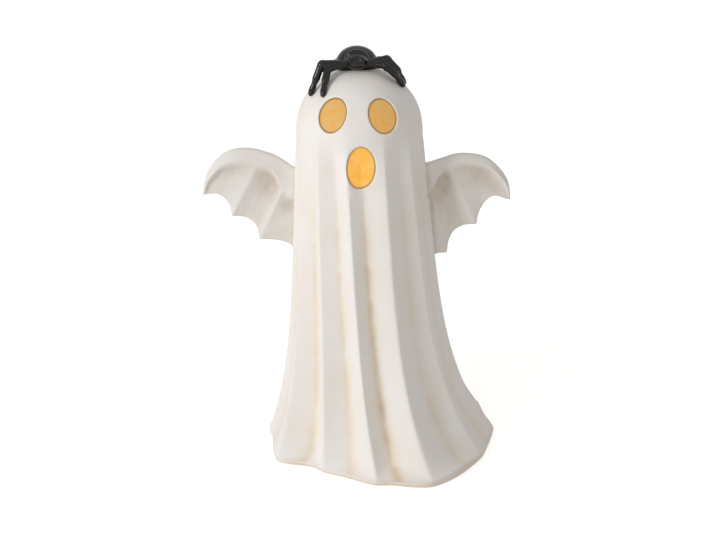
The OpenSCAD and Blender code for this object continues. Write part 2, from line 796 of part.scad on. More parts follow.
module spider_leg(k) {
  turns = leg_turns[k];
  falls = leg_falls[k];
  heights = leg_height_shares[k] * abdomen_r;
  p = [
    thorax_at + thorax_r * thorax_rise_share * [sin(turns[0]), -cos(turns[0]), 0],
    mix(thorax_at, on_head(turns[1], falls[0], heights[0]), leg_knee_share) + [0, 0, leg_r],
    on_head(turns[1], falls[0], heights[0]),
    on_head(turns[2], falls[1], heights[1]),
    on_head(turns[3], falls[2], toe_r)
  ];
  widths = [leg_r, leg_r, leg_r, leg_r, toe_r];
  stops = [0 : leg_rings_share : len(p) - 1];
  tube([for (s = stops) curve(p, s)], [for (s = stops) curve(widths, s)], 8, [0, 0, 1]);
}

module spider() {
  color("black")
    difference() {
      union() {
        translate(abdomen_at) sphere(r = abdomen_r, $fn = 96);
        translate(thorax_at) sphere(r = thorax_r, $fn = 72);
        for (k = [0 : len(leg_turns) - 1]) spider_leg(k);
      }
      translate([head_x, 0, head_z]) sphere(r = head_r, $fn = 128);
    }
}

ghost_shell();
left_wing();
right_wing();
base_slab();
spider();
left_eye_pane();
right_eye_pane();
mouth_pane();
foot_pads();
battery_box();
battery_door();
battery_cells();
contact_springs();
contact_plates();
switch_body();
switch_knob();
led_board();
led_lamps();
red_lead();
black_lead();
board_screws();
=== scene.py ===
"""A sheet ghost in matte white ceramic, with bat wings and a black glazed spider on its head.

The frame holds every piece. The sheet, its wings and floor slab, the three panes and the spider
are drawn finer here, from the frame's own sizes, and the other pieces get their finishes. Shapes
are worked out in millimetres and stored in metres.
"""

import math
from functools import partial

import bpy
import numpy as np
from mathutils.geometry import delaunay_2d_cdt
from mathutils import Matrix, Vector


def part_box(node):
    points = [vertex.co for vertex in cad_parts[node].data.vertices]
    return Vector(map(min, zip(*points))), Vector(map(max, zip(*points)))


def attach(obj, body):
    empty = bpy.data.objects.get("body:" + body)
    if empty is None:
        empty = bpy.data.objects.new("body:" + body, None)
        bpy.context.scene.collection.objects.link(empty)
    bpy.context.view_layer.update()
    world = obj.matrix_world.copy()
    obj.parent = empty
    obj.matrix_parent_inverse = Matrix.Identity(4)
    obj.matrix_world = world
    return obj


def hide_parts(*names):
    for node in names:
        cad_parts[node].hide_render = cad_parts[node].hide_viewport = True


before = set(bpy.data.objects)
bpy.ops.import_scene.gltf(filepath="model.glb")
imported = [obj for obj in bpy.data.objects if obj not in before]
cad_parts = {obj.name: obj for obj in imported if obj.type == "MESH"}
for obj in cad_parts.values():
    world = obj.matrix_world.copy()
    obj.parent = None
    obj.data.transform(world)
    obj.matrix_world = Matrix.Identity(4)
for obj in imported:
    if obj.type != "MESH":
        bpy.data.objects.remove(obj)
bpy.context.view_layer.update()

MM = 0.001
SHARP_ANGLE = math.radians(50)

# Sizes of the figure in millimetres, as the frame has them. Only the flare is 1 mm less, which
# keeps the hem within the frame's box.
FIGURE_H = 381.0
HEAD_R = 59.0
WALL = 4.5
BODY_TAPER = 23.0
HEM_FLARE = 33.0
HEM_LEAN = 10.5
HEM_TRAIL = 10.5
PAD_T = 1.2
SLAB_T = 5.0
SLAB_INSET = 1.0
HEAD_Z = FIGURE_H - HEAD_R
HEM_Z = PAD_T + SLAB_T
DRAPE_H = HEAD_Z - HEM_Z
WING_SPAN = 87.0
WING_RISE = 115.0
HEAD_X = 3.045
BOX_RIM = 6.0
BOX_CORNER = 3.0
RIM_CORNER = 6.0
DOOR_T = 1.6
SEAT_GAP = 0.4

# The folds' crests, anticlockwise seen from above: degrees from straight ahead at the neck and at
# the hem, and how far each reaches at the hem as a share of the plain cone
FOLD_TOP_ANGLES = np.array([-88, -67, -40, -12, 22, 50, 84, 111, 138, 165, 192, 218, 245, 272.0])
FOLD_HEM_ANGLES = np.array([-83, -57, -33, -2, 24, 58, 82, 110, 138, 166, 192, 219, 248, 277.0])
FOLD_REACH = np.array([0.97, 1.06, 0.9, 0.955, 1.06, 1.01, 0.99, 0.93, 0.96, 1, 0.97, 0.99, 0.96, 0.97])
# The valley after each crest: its depth, the place of its low line, how much tan wash and painted
# shade it holds, how far it fades towards the hem, and how far it fills at the very foot
FOLD_VALLEY = np.array([0.6, 1.45, 1.55, 1.65, 1.0, 0.6, 0.8, 1.1, 1, 1.2, 1, 1.1, 0.8])
FOLD_LOW = np.array([0.5, 0.5, 0.52, 0.4, 0.6, 0.5, 0.5, 0.45, 0.55, 0.5, 0.45, 0.5, 0.55])
FOLD_WASH_AND_SHADE = np.array([0.45, 0.75, 0.66, 0.92, 0.5, 0.4, 0.5, 0.6, 0.5, 0.6, 0.5, 0.6, 0.5])
FOLD_FADE = np.array([0.4, 0.2, 0.35, 0.4, 0.6, 0.6, 0.5, 0.5, 0.6, 0.5, 0.6, 0.5, 0.5])
SLAB_FILL = np.array([0.35, 0.62, 0.72, 0.82, 0.93, 0.6, 0.35, 0.4, 0.55, 0.4, 0.55, 0.4, 0.35])
FOLDS = len(FOLD_VALLEY)
# A valley's depth as a share of the radius: from the neck down, and what the hem adds
NECK_VALLEY = 0.068
HEM_VALLEY = 0.075
# How far above the neck the folds set in, and the length over which they do
FOLDS_OVER_NECK = 24.0
FOLDS_SET_IN = 50.0
# Shares of the way down at which the valleys start to fade and to fill
FADE_START = 0.8
FOOT_START = 0.965
# The power of a valley's sides, and how much its crests are rounded off
VALLEY_POWER = 1.45
CREST_ROUND = 0.07
# Depth of the hand marks, and the most that their waves can add up to
MARK_DEPTH = 0.16
MARK_TOP = 1.7


def ease(x):
    """Zero below 0, one above 1, and 3x^2 - 2x^3 between."""
    x = np.clip(x, 0, 1)
    return x * x * (3 - 2 * x)


def mix(a, b, k):
    """The value a share k of the way from a to b."""
    return a + (b - a) * k


def smoothed(run, rounds):
    """A row whose inner values or points become a mean of both neighbours and twice themselves."""
    for _ in range(rounds):
        run = np.concatenate([run[:1], (run[:-2] + 2 * run[1:-1] + run[2:]) / 4, run[-1:]])
    return run


# The draped sheet as a surface

def crest_angles(t):
    """Angles of all crests, one row each, a share t of the way down."""
    return mix(FOLD_TOP_ANGLES[:, None], FOLD_HEM_ANGLES[:, None], t)


def centre_x(t):
    """The body's middle leans with t and sweeps out with t^5."""
    return HEAD_X + HEM_LEAN * t + HEM_TRAIL * t**5


def crest_radius(t):
    """A cone with a flare that grows with t^5."""
    return HEAD_R + BODY_TAPER * t + HEM_FLARE * t**5


def fold_depth(k, u):
    """Zero at both crests and one at the valley's low line, with nearly flat sides between.

    A side falls as 1 - s^1.45, where s runs from 0 in the valley to 1 at the crest, and the
    crest itself is rounded off a little.
    """
    low = FOLD_LOW[k]
    side = np.where(u < low, 1 - u / low, (u - low) / (1 - low))
    depth = 1 - np.clip(side, 0, 1) ** VALLEY_POWER
    rounded = np.sqrt(depth**2 + CREST_ROUND**2) - CREST_ROUND
    return rounded / (math.sqrt(1 + CREST_ROUND**2) - CREST_ROUND)


def fold_shape(k, u, level):
    """How far the sheet reaches, and what share the valley takes, at a share u past crest k.

    The level is 0 at the neck, 1 at the hem and less than 0 on the head, where folds set in.
    """
    t = np.clip(level, 0, 1)
    reach = 1 + (mix(FOLD_REACH[k], FOLD_REACH[k + 1], ease(u)) - 1) * t**2
    set_in = ease((level * DRAPE_H + FOLDS_OVER_NECK) / FOLDS_SET_IN)
    depth = NECK_VALLEY * set_in + HEM_VALLEY * t**1.5
    fade = 1 - FOLD_FADE[k] * ease((t - FADE_START) / (1 - FADE_START))
    fade *= 1 - SLAB_FILL[k] * np.clip((t - FOOT_START) / (1 - FOOT_START), 0, 1) ** 2
    return reach, depth * FOLD_VALLEY[k] * fold_depth(k, u) * fade


def fold_at(angle, t):
    """The fold k and the share u past its crest for an angle in degrees, a share t down."""
    crests = crest_angles(t)
    turned = crests[0] + (angle - crests[0]) % 360
    k = np.clip((crests <= turned).sum(axis=0) - 1, 0, FOLDS - 1)
    low = np.take_along_axis(crests, k[None], 0)[0]
    high = np.take_along_axis(crests, k[None] + 1, 0)[0]
    return k, (turned - low) / (high - low)


def sheet_radius(angle, z, off):
    """Radius of the sheet's face, set out by off: crest times reach, less the valley.

    Above the neck the radius shrinks like a ball's, with the square root of 1 - height^2.
    """
    level = (HEAD_Z - z) / DRAPE_H
    t = np.clip(level, 0, 1)
    k, u = fold_at(angle, t)
    reach, valley = fold_shape(k, u, level)
    climb = np.clip((z - HEAD_Z) / (HEAD_R + off), 0, 1)
    return (crest_radius(t) * reach * (1 - valley) + off) * np.sqrt(1 - climb**2)


def around(x, r, angle, z):
    """A point at a radius and an angle in degrees round a standing axis at x."""
    a = np.radians(angle)
    return np.stack([x + r * np.sin(a), -r * np.cos(a), z + 0 * a], axis=-1)


def sheet_points(angle, z, off):
    """Points of the sheet at an angle and a height, set out by off."""
    t = np.clip((HEAD_Z - z) / DRAPE_H, 0, 1)
    return around(centre_x(t), sheet_radius(angle, z, off), angle, z)


def round_axis(p):
    """How far down points lie as a share, how far to the side of the axis, and their angle round it."""
    t = np.clip((HEAD_Z - p[:, 2]) / DRAPE_H, 0, 1)
    x = p[:, 0] - centre_x(t)
    return t, x, np.arctan2(x, -p[:, 1])


def beyond_sheet(p, off):
    """How far points lie outside the sheet's face, measured along its radius."""
    _, x, angle = round_axis(p)
    return np.hypot(x, p[:, 1]) - sheet_radius(np.degrees(angle), p[:, 2], off)


def hand_marks(p):
    """Shallow dents of the clay in millimetres: crossing sine waves of 40 to 200 mm, never proud."""
    x, y, z = p[:, 0], p[:, 1], p[:, 2]
    waves = np.sin(x / 9.1 + z / 23 + 0.6) * np.sin(y / 11.3 - z / 31 + 2.1)
    waves += 0.7 * np.sin(z / 6.7 + x / 17) * np.sin((x + y) / 13.7 + 0.9)
    return MARK_DEPTH * (waves - MARK_TOP)


# Meshes

def add_object(name, data):
    """An object in the scene that holds a mesh, a light or a camera."""
    new = bpy.data.objects.new(name, data)
    bpy.context.scene.collection.objects.link(new)
    return new


def mesh_piece(name, node, points, faces):
    """A smooth piece that stands for a CAD node, from points in millimetres and lists of faces."""
    mesh = bpy.data.meshes.new(name)
    mesh.from_pydata((np.asarray(points) * MM).tolist(), [], [list(map(int, f)) for f in faces])
    mesh.validate()
    mesh.shade_smooth()
    piece = add_object(name, mesh)
    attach(piece, "figure")
    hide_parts(node)
    return piece


def bands(rings, turned=False):
    """Quads between each closed ring of vertex numbers and the next, facing out or turned round."""
    faces = []
    for a, b in zip(rings, rings[1:]):
        low, high = (b, a) if turned else (a, b)
        faces += np.stack([low, np.roll(low, -1), np.roll(high, -1), high], axis=1).tolist()
    return faces


def fill_between(flat, outline, hole):
    """Triangles between two closed loops of vertex numbers, laid out on a plane by flat.

    The loops are edges that a Delaunay triangulation has to keep. Triangles whose corners all
    lie on the hole's loop are left out, so it stays open.
    """
    used = np.concatenate([outline, hole])
    number = {int(v): i for i, v in enumerate(used)}
    edges = []
    for loop in (outline, hole):
        edges += [(number[int(a)], number[int(b)]) for a, b in zip(loop, np.roll(loop, -1))]
    _, _, found, sources, *_ = delaunay_2d_cdt([tuple(flat[v]) for v in used], edges, [], 1, 1e-6)
    in_hole = {int(v) for v in hole}
    triangles = []
    for corners in found:
        if all(sources[c] for c in corners):
            triangle = [int(used[sources[c][0]]) for c in corners]
            if not set(triangle) <= in_hole:
                triangles.append(triangle)
    return triangles


def open_boundary(faces):
    """The closed loop of edges that only one of the faces has, as vertex numbers in order."""
    count = {}
    for f in faces:
        for a, b in zip(f, f[1:] + f[:1]):
            count[(a, b)] = count.get((a, b), 0) + 1
    following = {a: b for a, b in count if (b, a) not in count}
    start = next(iter(following))
    loop = [start]
    while following[loop[-1]] != start:
        loop.append(following[loop[-1]])
    return np.array(loop)


# The face's three openings

class Opening:
    """An oval cut along one direction, from a point on the head's axis out through the wall.

    The direction is a turn and a rise in degrees. The oval's width and height and the point's drop
    below the head's middle are in millimetres.
    """

    # The share of points on the far side of the axis, and the stretch of each line on which the
    # sheet is looked for
    BEHIND = 9.0
    NEAREST, FURTHEST = 10.0, 95.0
    HALVINGS = 32

    def __init__(self, turn, rise, width, height, drop):
        a, e = math.radians(turn), math.radians(rise)
        self.out = np.array([math.sin(a) * math.cos(e), -math.cos(a) * math.cos(e), math.sin(e)])
        self.right = np.array([math.cos(a), math.sin(a), 0.0])
        self.up = np.cross(self.right, -self.out)
        self.up *= np.sign(self.up[2])
        self.middle = np.array([HEAD_X, 0.0, HEAD_Z - drop])
        self.half = np.array([width / 2, height / 2])

    def share(self, p):
        """How far points lie from the opening's middle, where its outline is 1."""
        q = p - self.middle
        flat = np.stack([q @ self.right, q @ self.up], axis=1) / self.half
        return np.where(q @ self.out > 0, np.linalg.norm(flat, axis=1), self.BEHIND)

    def ring(self, angles, margin, off, scale=1.0):
        """The oval, wider by a margin all round, carried outwards until it meets the sheet.

        The place along each line is found by halving the stretch between inside and outside.
        """
        wide, high = (self.half + margin) * scale
        start = (self.middle + np.outer(wide * np.cos(angles), self.right)
                 + np.outer(high * np.sin(angles), self.up))
        low, far = np.full(len(angles), self.NEAREST), np.full(len(angles), self.FURTHEST)
        for _ in range(self.HALVINGS):
            half_way = (low + far) / 2
            outside = beyond_sheet(start + half_way[:, None] * self.out, off) > 0
            low, far = np.where(outside, low, half_way), np.where(outside, half_way, far)
        return start + low[:, None] * self.out


LEFT_EYE = Opening(-30, 32.5, 27.5, 33, 0)
RIGHT_EYE = Opening(25.5, 32.5, 27.5, 33, 0)
MOUTH = Opening(1.4, 0, 26.4, 42, 15)
OPENINGS = [LEFT_EYE, RIGHT_EYE, MOUTH]
RIM_TURN = np.linspace(0, 2 * np.pi, 96, endpoint=False)
# Rings round an opening: margins from the stitched edge inwards, where a lip rises a little, then
# steps round the rim's corner, and shares of the way down its wall
RIM_MARGINS = [4.6, 3.6, 2.7, 2.0, 1.5]
RIM_LIFT = 0.15
RIM_LIFT_WIDTH = 2.4
RIM_ROUND = 0.9
RIM_CORNERS = np.radians([0, 22, 45, 68, 90])
RIM_WALL = [0.35, 0.7]


def unrolled(p):
    """Lays the sheet flat: the angle round the head, and the way up its side and over its top."""
    climb = np.clip((p[:, 2] - HEAD_Z) / HEAD_R, 0, 0.999)
    way_up = np.where(p[:, 2] > HEAD_Z, HEAD_R * np.arcsin(climb), p[:, 2] - HEAD_Z)
    return np.stack([HEAD_R * round_axis(p)[2], way_up], axis=1)


def sheet_grid(per_fold, body_rows, dome_rows, off):
    """Rings of the sheet from hem to crown, with the same number of columns in every fold."""
    share = np.tile(np.arange(per_fold) / per_fold, FOLDS)
    fold = np.repeat(np.arange(FOLDS), per_fold)
    t = 1 - np.arange(body_rows + 1) / body_rows
    crests = crest_angles(t)
    angle = mix(crests[fold], crests[fold + 1], share[:, None]).T
    z = np.broadcast_to((HEAD_Z - DRAPE_H * t)[:, None], angle.shape)
    climb = np.radians(90 * np.arange(1, dome_rows) / dome_rows)
    dome_angle = np.broadcast_to(angle[-1], (dome_rows - 1, angle.shape[1]))
    dome_z = np.broadcast_to((HEAD_Z + (HEAD_R + off) * np.sin(climb))[:, None], dome_angle.shape)
    angle = np.concatenate([angle, dome_angle])
    z = np.concatenate([z, dome_z])
    return sheet_points(angle.ravel(), z.ravel(), off), angle.shape


def pierced_sheet(per_fold, body_rows, dome_rows, off, first, rings, reach):
    """The sheet's grid with its crown closed, and each opening's outer ring stitched into it.

    Cells nearer to an opening than reach, in shares of the oval, are taken out. The gap between
    them and the ring is filled with triangles.
    """
    points, shape = sheet_grid(per_fold, body_rows, dome_rows, off)
    rows, columns = shape
    number = first + np.arange(rows * columns).reshape(shape)
    cells = np.stack([number[:-1], np.roll(number[:-1], -1, 1),
                      np.roll(number[1:], -1, 1), number[1:]], axis=-1).reshape(-1, 4)
    crown = first + len(points)
    points = np.vstack([points, [HEAD_X, 0, HEAD_Z + HEAD_R + off]])
    faces = [[a, b, crown] for a, b in zip(number[-1], np.roll(number[-1], -1))]
    flat = {}
    keep = np.ones(len(cells), bool)
    for opening, (ring_points, ring_number) in zip(OPENINGS, rings):
        near = opening.share(points) < reach
        cut = keep & near[cells - first].any(axis=1)
        keep &= ~cut
        loop = open_boundary([list(map(int, c)) for c in cells[cut]])
        flat.update(zip(map(int, loop), unrolled(points[loop - first]).tolist()))
        flat.update(zip(map(int, ring_number), unrolled(ring_points).tolist()))
        faces += fill_between(flat, loop, ring_number)
    return points, cells[keep].tolist() + faces, number[0]


# Columns in each fold, rows of the body and rows of the dome, and the cells near an opening that
# are taken out, in shares of its oval. The lining has a third of the outer face's columns.
OUTER_GRID, OUTER_CUT = (36, 104, 38), 1.52
LINING_GRID, LINING_CUT = (12, 50, 20), 1.2
# How high the outer face ends over the slab's top, and the rings of its rolled edge below that:
# how far each steps in, and its height
HEM_LIFT = 1.1
HEM_ROLL = [(0.15, 0.5), (0.5, 0.15), (1.2, 0.0)]


def make_shell():
    """The sheet's outer face, its lining, the rounded rims of its openings and its hem."""
    points, faces, outer_rings, inner_rings = [], [], [], []
    count = 0

    def add(new):
        nonlocal count
        points.append(new)
        count += len(new)
        return np.arange(count - len(new), count)

    for opening in OPENINGS:
        rings = []
        for margin in RIM_MARGINS:
            lift = RIM_LIFT * ease((RIM_MARGINS[0] - margin) / RIM_LIFT_WIDTH)
            rings.append(opening.ring(RIM_TURN, margin, 0) + lift * opening.out)
        for corner in RIM_CORNERS:
            margin = RIM_ROUND * (1 - math.sin(corner))
            sink = RIM_ROUND * (1 - math.cos(corner)) - RIM_LIFT
            rings.append(opening.ring(RIM_TURN, margin, 0) - sink * opening.out)
        inner = opening.ring(RIM_TURN, 0, -WALL)
        rings += [mix(rings[-1], inner, share) for share in RIM_WALL]
        numbers = [add(ring) for ring in rings + [inner]]
        faces += bands(numbers)
        outer_rings.append((rings[0], numbers[0]))
        inner_rings.append((inner, numbers[-1]))

    outer, outer_faces, hem = pierced_sheet(*OUTER_GRID, 0, count, outer_rings, OUTER_CUT)
    faces += outer_faces
    add(outer)
    lining, lining_faces, lining_hem = pierced_sheet(
        *LINING_GRID, -WALL, count, inner_rings, LINING_CUT)
    faces += [f[::-1] for f in lining_faces]
    add(lining)

    # The hem's lower edge is rolled in before it meets the floor slab
    edge = outer[: len(hem)]
    inward = np.stack([centre_x(1.0) - edge[:, 0], -edge[:, 1]], axis=1)
    inward /= np.linalg.norm(inward, axis=1)[:, None]
    last = hem
    for step_in, rise in HEM_ROLL:
        ring = edge.copy()
        ring[:, :2] += step_in * inward
        ring[:, 2] = HEM_Z + rise
        new = add(ring)
        faces += bands([new, last])
        last = new
    run = OUTER_GRID[0] // LINING_GRID[0]
    for j in range(len(lining_hem)):
        outer_run = [last[(run * j + i) % len(last)] for i in range(run + 1)]
        faces.append([lining_hem[j], lining_hem[(j + 1) % len(lining_hem)], *outer_run[::-1]])

    points = np.vstack(points)
    points[hem, 2] += HEM_LIFT

    # Hand marks dent the sheet towards a point 40 mm below the head's middle. They die out near
    # the rims and over the lowest 20 mm.
    away = points - [HEAD_X, 0, HEAD_Z - 40]
    away /= np.linalg.norm(away, axis=1)[:, None]
    from_rims = ease((nearest_rim(points) - 1.1) / 0.6)
    dents = hand_marks(points) * (from_rims * ease((points[:, 2] - HEM_Z) / 20))
    points += dents[:, None] * away
    shell = mesh_piece("sheet_shell", "ghost_shell", points, faces)
    wash_and_shade_from_folds(shell, points)
    return shell


def nearest_rim(p):
    """How far points lie from the nearest opening's middle, where its outline is 1."""
    return np.min([opening.share(p) for opening in OPENINGS], axis=0)


def set_wash_and_shade(piece, wash_and_shade):
    """Stores how much wash and painted shade each point of a piece carries, from 0 to 1."""
    layer = piece.data.attributes.new("wash_and_shade", "FLOAT", "POINT")
    layer.data.foreach_set("value", np.clip(wash_and_shade, 0, 1).astype(np.float32))


def wash_and_shade_from_folds(piece, p):
    """A bell curve of tan wash and painted shade across each valley's low line, and painted shade on the
    openings' walls.

    In the valleys it sets in over the upper third.
    """
    t, _, angle = round_axis(p)
    k, u = fold_at(np.degrees(angle), t)
    line = np.exp(-((u - FOLD_LOW[k]) / 0.15) ** 2) * ease(t / 0.35) * FOLD_WASH_AND_SHADE[k]
    # The valleys get tan wash and painted shade; the openings' walls get painted shade, where the hole
    # lies in shadow
    set_wash_and_shade(piece, np.maximum(line, np.exp(-((nearest_rim(p) - 1) / 0.03) ** 2)))


# A pane's gap to its opening, its depth below the sheet's face, its lap behind the wall and its
# thickness there
PANE_GAP = 0.3
PANE_INSET = 1.3
PANE_LAP = 3.0
PANE_T = 2.0
# Rings of its front face as shares of the oval, the painted shade at the rim on each of them, and rings
# of its back
PANE_FRONT = [0.05, 0.25, 0.45, 0.62, 0.76, 0.86, 0.91, 0.95, 0.98]
PANE_RIM_SHADE = [0, 0, 0, 0, 0, 0, 0, 0.2, 0.8]
PANE_BACK = [0.7, 0.4, 0.1]


def make_pane(name, node, opening):
    """A pane that laps the wall behind its opening and fills the hole nearly to the rim.

    Each ring is the oval with a margin, carried out to a depth below the sheet's face. The attribute
    holds painted shade at the rim, which is full from the edge backwards.
    """
    back = WALL + PANE_GAP
    edge = [(-PANE_GAP - 0.5, PANE_INSET), (-PANE_GAP - 0.15, PANE_INSET + 0.15),
            (-PANE_GAP, PANE_INSET + 0.5), (-PANE_GAP, back), (PANE_LAP, back), (PANE_LAP, back + PANE_T)]
    rings = [opening.ring(RIM_TURN, edge[0][0], -PANE_INSET, share) for share in PANE_FRONT]
    rings += [opening.ring(RIM_TURN, margin, -depth) for margin, depth in edge]
    rings += [opening.ring(RIM_TURN, PANE_LAP, -back - PANE_T, share) for share in PANE_BACK]
    numbers = np.arange(len(rings) * len(RIM_TURN)).reshape(len(rings), -1)
    faces = [numbers[0].tolist(), numbers[-1][::-1].tolist(), *bands(numbers, turned=True)]
    pane = mesh_piece(name, node, np.vstack(rings), faces)
    pane.data.set_sharp_from_angle(angle=SHARP_ANGLE)
    # Painted shade at the pane's rim, where the gap and the opening's wall lie in shadow
    rim_shade = PANE_RIM_SHADE + [1.0] * (len(rings) - len(PANE_RIM_SHADE))
    set_wash_and_shade(pane, np.repeat(rim_shade, len(RIM_TURN)))
    return pane


# Wings

# Each wing: the place of its root behind the head's middle and above the floor, the width of the
# bevel from the arm's edge to its ridge and of the fall to the web, how far the last scallop is
# hooked up, the arm and the claws as shares of span and rise, and the arm's steps where ribs start
LEFT_WING = {
    "side": -1, "at": (4.0, 187.0), "bevel": 10.0, "fall": 11.0, "hook": 2.2,
    "arm": [[0, 0.83], [0.21, 0.94], [0.5, 1], [0.75, 0.955], [0.935, 0.785], [1, 0.585]],
    "claws": [[0.075, 0], [0.4, 0.185], [0.69, 0.395], [1, 0.585]], "starts": [0, 0.1, 1.4, 5],
}
RIGHT_WING = {
    "side": 1, "at": (-1.0, 192.0), "bevel": 5.5, "fall": 11.0, "hook": 5.6,
    "arm": [[0, 0.84], [0.17, 0.885], [0.4, 0.93], [0.67, 0.885], [0.88, 0.71], [0.93, 0.52]],
    "claws": [[0.12, 0], [0.26, 0.035], [0.575, 0.3], [0.93, 0.52]], "starts": [0, 0.1, 1.2, 5],
}
# Places along each panel between two ribs, and the share of the last panel where the last one lies
PANEL_PLACES = [30, 36, 50]
LAST_PLACE = 0.985
# The bevel's width in the body and at its side, and the steps of the arm in which it narrows
BODY_BEVEL = 34.0
ROOT_BEVEL = 21.0
ROOT_STEPS = 1.1
# Half the thickness at the arm's ridge, in the web and on its ribs, and least at the edge
ARM_HALF = 6.0
WEB_HALF = 1.1
RIB_HALF = 6.4
EDGE_HALF = 1.9
SCALLOP_POWER = 2.7
CLAW_ROUNDING = 5
# How far the root lies in the body's wall, and the fillet where the wing leaves it
ROOT_DEPTH = 1.8
FILLET = 2.6
FILLET_WIDTH = 8.0
# How much wash and painted shade lies under the arm and in the bowls, how much wash at the root, and what
# is left of it at the tip
ARM_WASH_AND_SHADE = 0.95
BOWL_WASH_AND_SHADE = 0.34
ROOT_WASH = 0.7
TIP_WASH = 0.3
# Rows across a section, as shares of its bevel, its fall and its web
BEVEL_ROWS = np.array([0, 0.012, 0.045, 0.1, 0.16, 0.3, 0.45, 0.6, 0.75, 0.88, 0.96, 1])
FALL_ROWS = np.array([0.05, 0.14, 0.27, 0.42, 0.58, 0.73, 0.87, 1])
WEB_ROWS = np.concatenate([np.linspace(0, 0.9, 19)[1:], [0.93, 0.955, 0.975, 0.99, 0.998, 1.0]])


def smooth_curve(table, s):
    """A Catmull-Rom curve through the points of a table, at places s counted in its steps."""
    p = np.asarray(table, float)
    i = np.clip(np.floor(s).astype(int), 0, len(p) - 2)
    u = (s - i)[:, None]
    a, b, c, d = p[np.maximum(i - 1, 0)], p[i], p[i + 1], p[np.minimum(i + 2, len(p) - 1)]
    return (2 * b + (c - a) * u + (2 * a - 5 * b + 4 * c - d) * u**2 + (3 * b - a - 3 * c + d) * u**3) / 2


def scallop(low, high, u, hook):
    """The edge between two claws: a superellipse, flat at the outer claw and steep at the inner."""
    w = u**1.35 / (u**1.35 + (1 - u) ** 1.35)
    power = 2 / SCALLOP_POWER
    x = high[:, 0] - (high[:, 0] - low[:, 0]) * np.cos(np.pi / 2 * w) ** power
    z = low[:, 1] + (high[:, 1] - low[:, 1]) * np.sin(np.pi / 2 * w) ** power
    return np.stack([x, z + hook * np.sin(np.pi * w**2) ** 1.5], axis=1)


def wing_plan(form):
    """Each place along a wing: its panel and the share along it, the arm's step, and both edges.

    The claws bound the panels. Smoothing the scalloped edge rounds them.
    """
    panel = np.repeat([0, 1, 2, 2], [*PANEL_PLACES, 1])
    u = np.concatenate([np.arange(n) / n for n in PANEL_PLACES] + [[LAST_PLACE]])
    starts = np.array(form["starts"], float)
    step = mix(starts[panel], starts[panel + 1], u)
    size = np.array([WING_SPAN, WING_RISE])
    lead = smooth_curve(form["arm"], step) * size
    tips = np.asarray(form["claws"], float) * size
    trail = scallop(tips[panel], tips[panel + 1], u, np.where(panel == 2, form["hook"], 0))
    return panel, u, step, lead, smoothed(trail, CLAW_ROUNDING), np.asarray(form["arm"][-1]) * size


def wing_section(panel, u, step, depth, form):
    """The rows of each section as shares of its depth, half its thickness there, and its wash and painted
    shade.

    The bevel starts as a quarter round and climbs in a straight line to the arm's ridge. The fall
    eases down to the web, and the web ends in a round edge. Bevel and fall narrow by up to 70% to
    the tip, and where the wing is narrow it is thinner too. Ribs fade to the bowls between them
    with powers of the share along a panel.
    """
    taper = 1 - 0.7 * ease((step - 2.4) / 2.6)
    at_body = np.where(panel == 0, mix(BODY_BEVEL, ROOT_BEVEL, u), ROOT_BEVEL)
    bevel = np.minimum(mix(at_body, form["bevel"], ease(step / ROOT_STEPS)) * taper, 0.5 * depth)
    fall = np.minimum(form["fall"] * taper, 0.3 * depth)
    slim = np.minimum(1, depth / (1.6 * (form["bevel"] + form["fall"]))) ** 0.7
    ribs = [u**2, np.abs(2 * u - 1) ** 1.6, np.clip(1 - u / 0.7, 0, 1) ** 1.6]
    rib = smoothed(np.choose(panel, ribs), 2)
    web = mix(WEB_HALF, RIB_HALF, rib)
    rows, halves = [], []
    for w in BEVEL_ROWS:
        rows.append(w * bevel / depth)
        quarter_round = math.sqrt(1 - (1 - min(w / 0.16, 1)) ** 2)
        halves.append((0.38 * quarter_round + 0.62 * w) * ARM_HALF * slim)
    for w in FALL_ROWS:
        rows.append((bevel + w * fall) / depth)
        halves.append(mix(ARM_HALF, web, ease(w)) * slim)
    for w in WEB_ROWS:
        rows.append(mix((bevel + fall) / depth, 1, w))
        round_edge = math.sqrt(max(0.0, 1 - max(0, (w - 0.93) / 0.07) ** 2))
        halves.append(mix(web, np.maximum(0.8 * web, EDGE_HALF), w) * slim * round_edge)
    rows, halves = np.array(rows), np.array(halves)

    # Wash and painted shade lie under the arm and fade within 15 mm, and a little of them fills each bowl
    below = rows * depth - bevel
    under_arm = ease(below / (0.8 * fall)) * np.exp(-(np.maximum(below - fall, 0) / 15) ** 2)
    bowl = ease(below / fall - 0.3) * (1 - rib)
    wash_and_shade = ARM_WASH_AND_SHADE * under_arm * (1 - 0.75 * rib) + BOWL_WASH_AND_SHADE * bowl
    return rows, halves, wash_and_shade * mix(1, TIP_WASH, ease((step - 2.2) / 2))


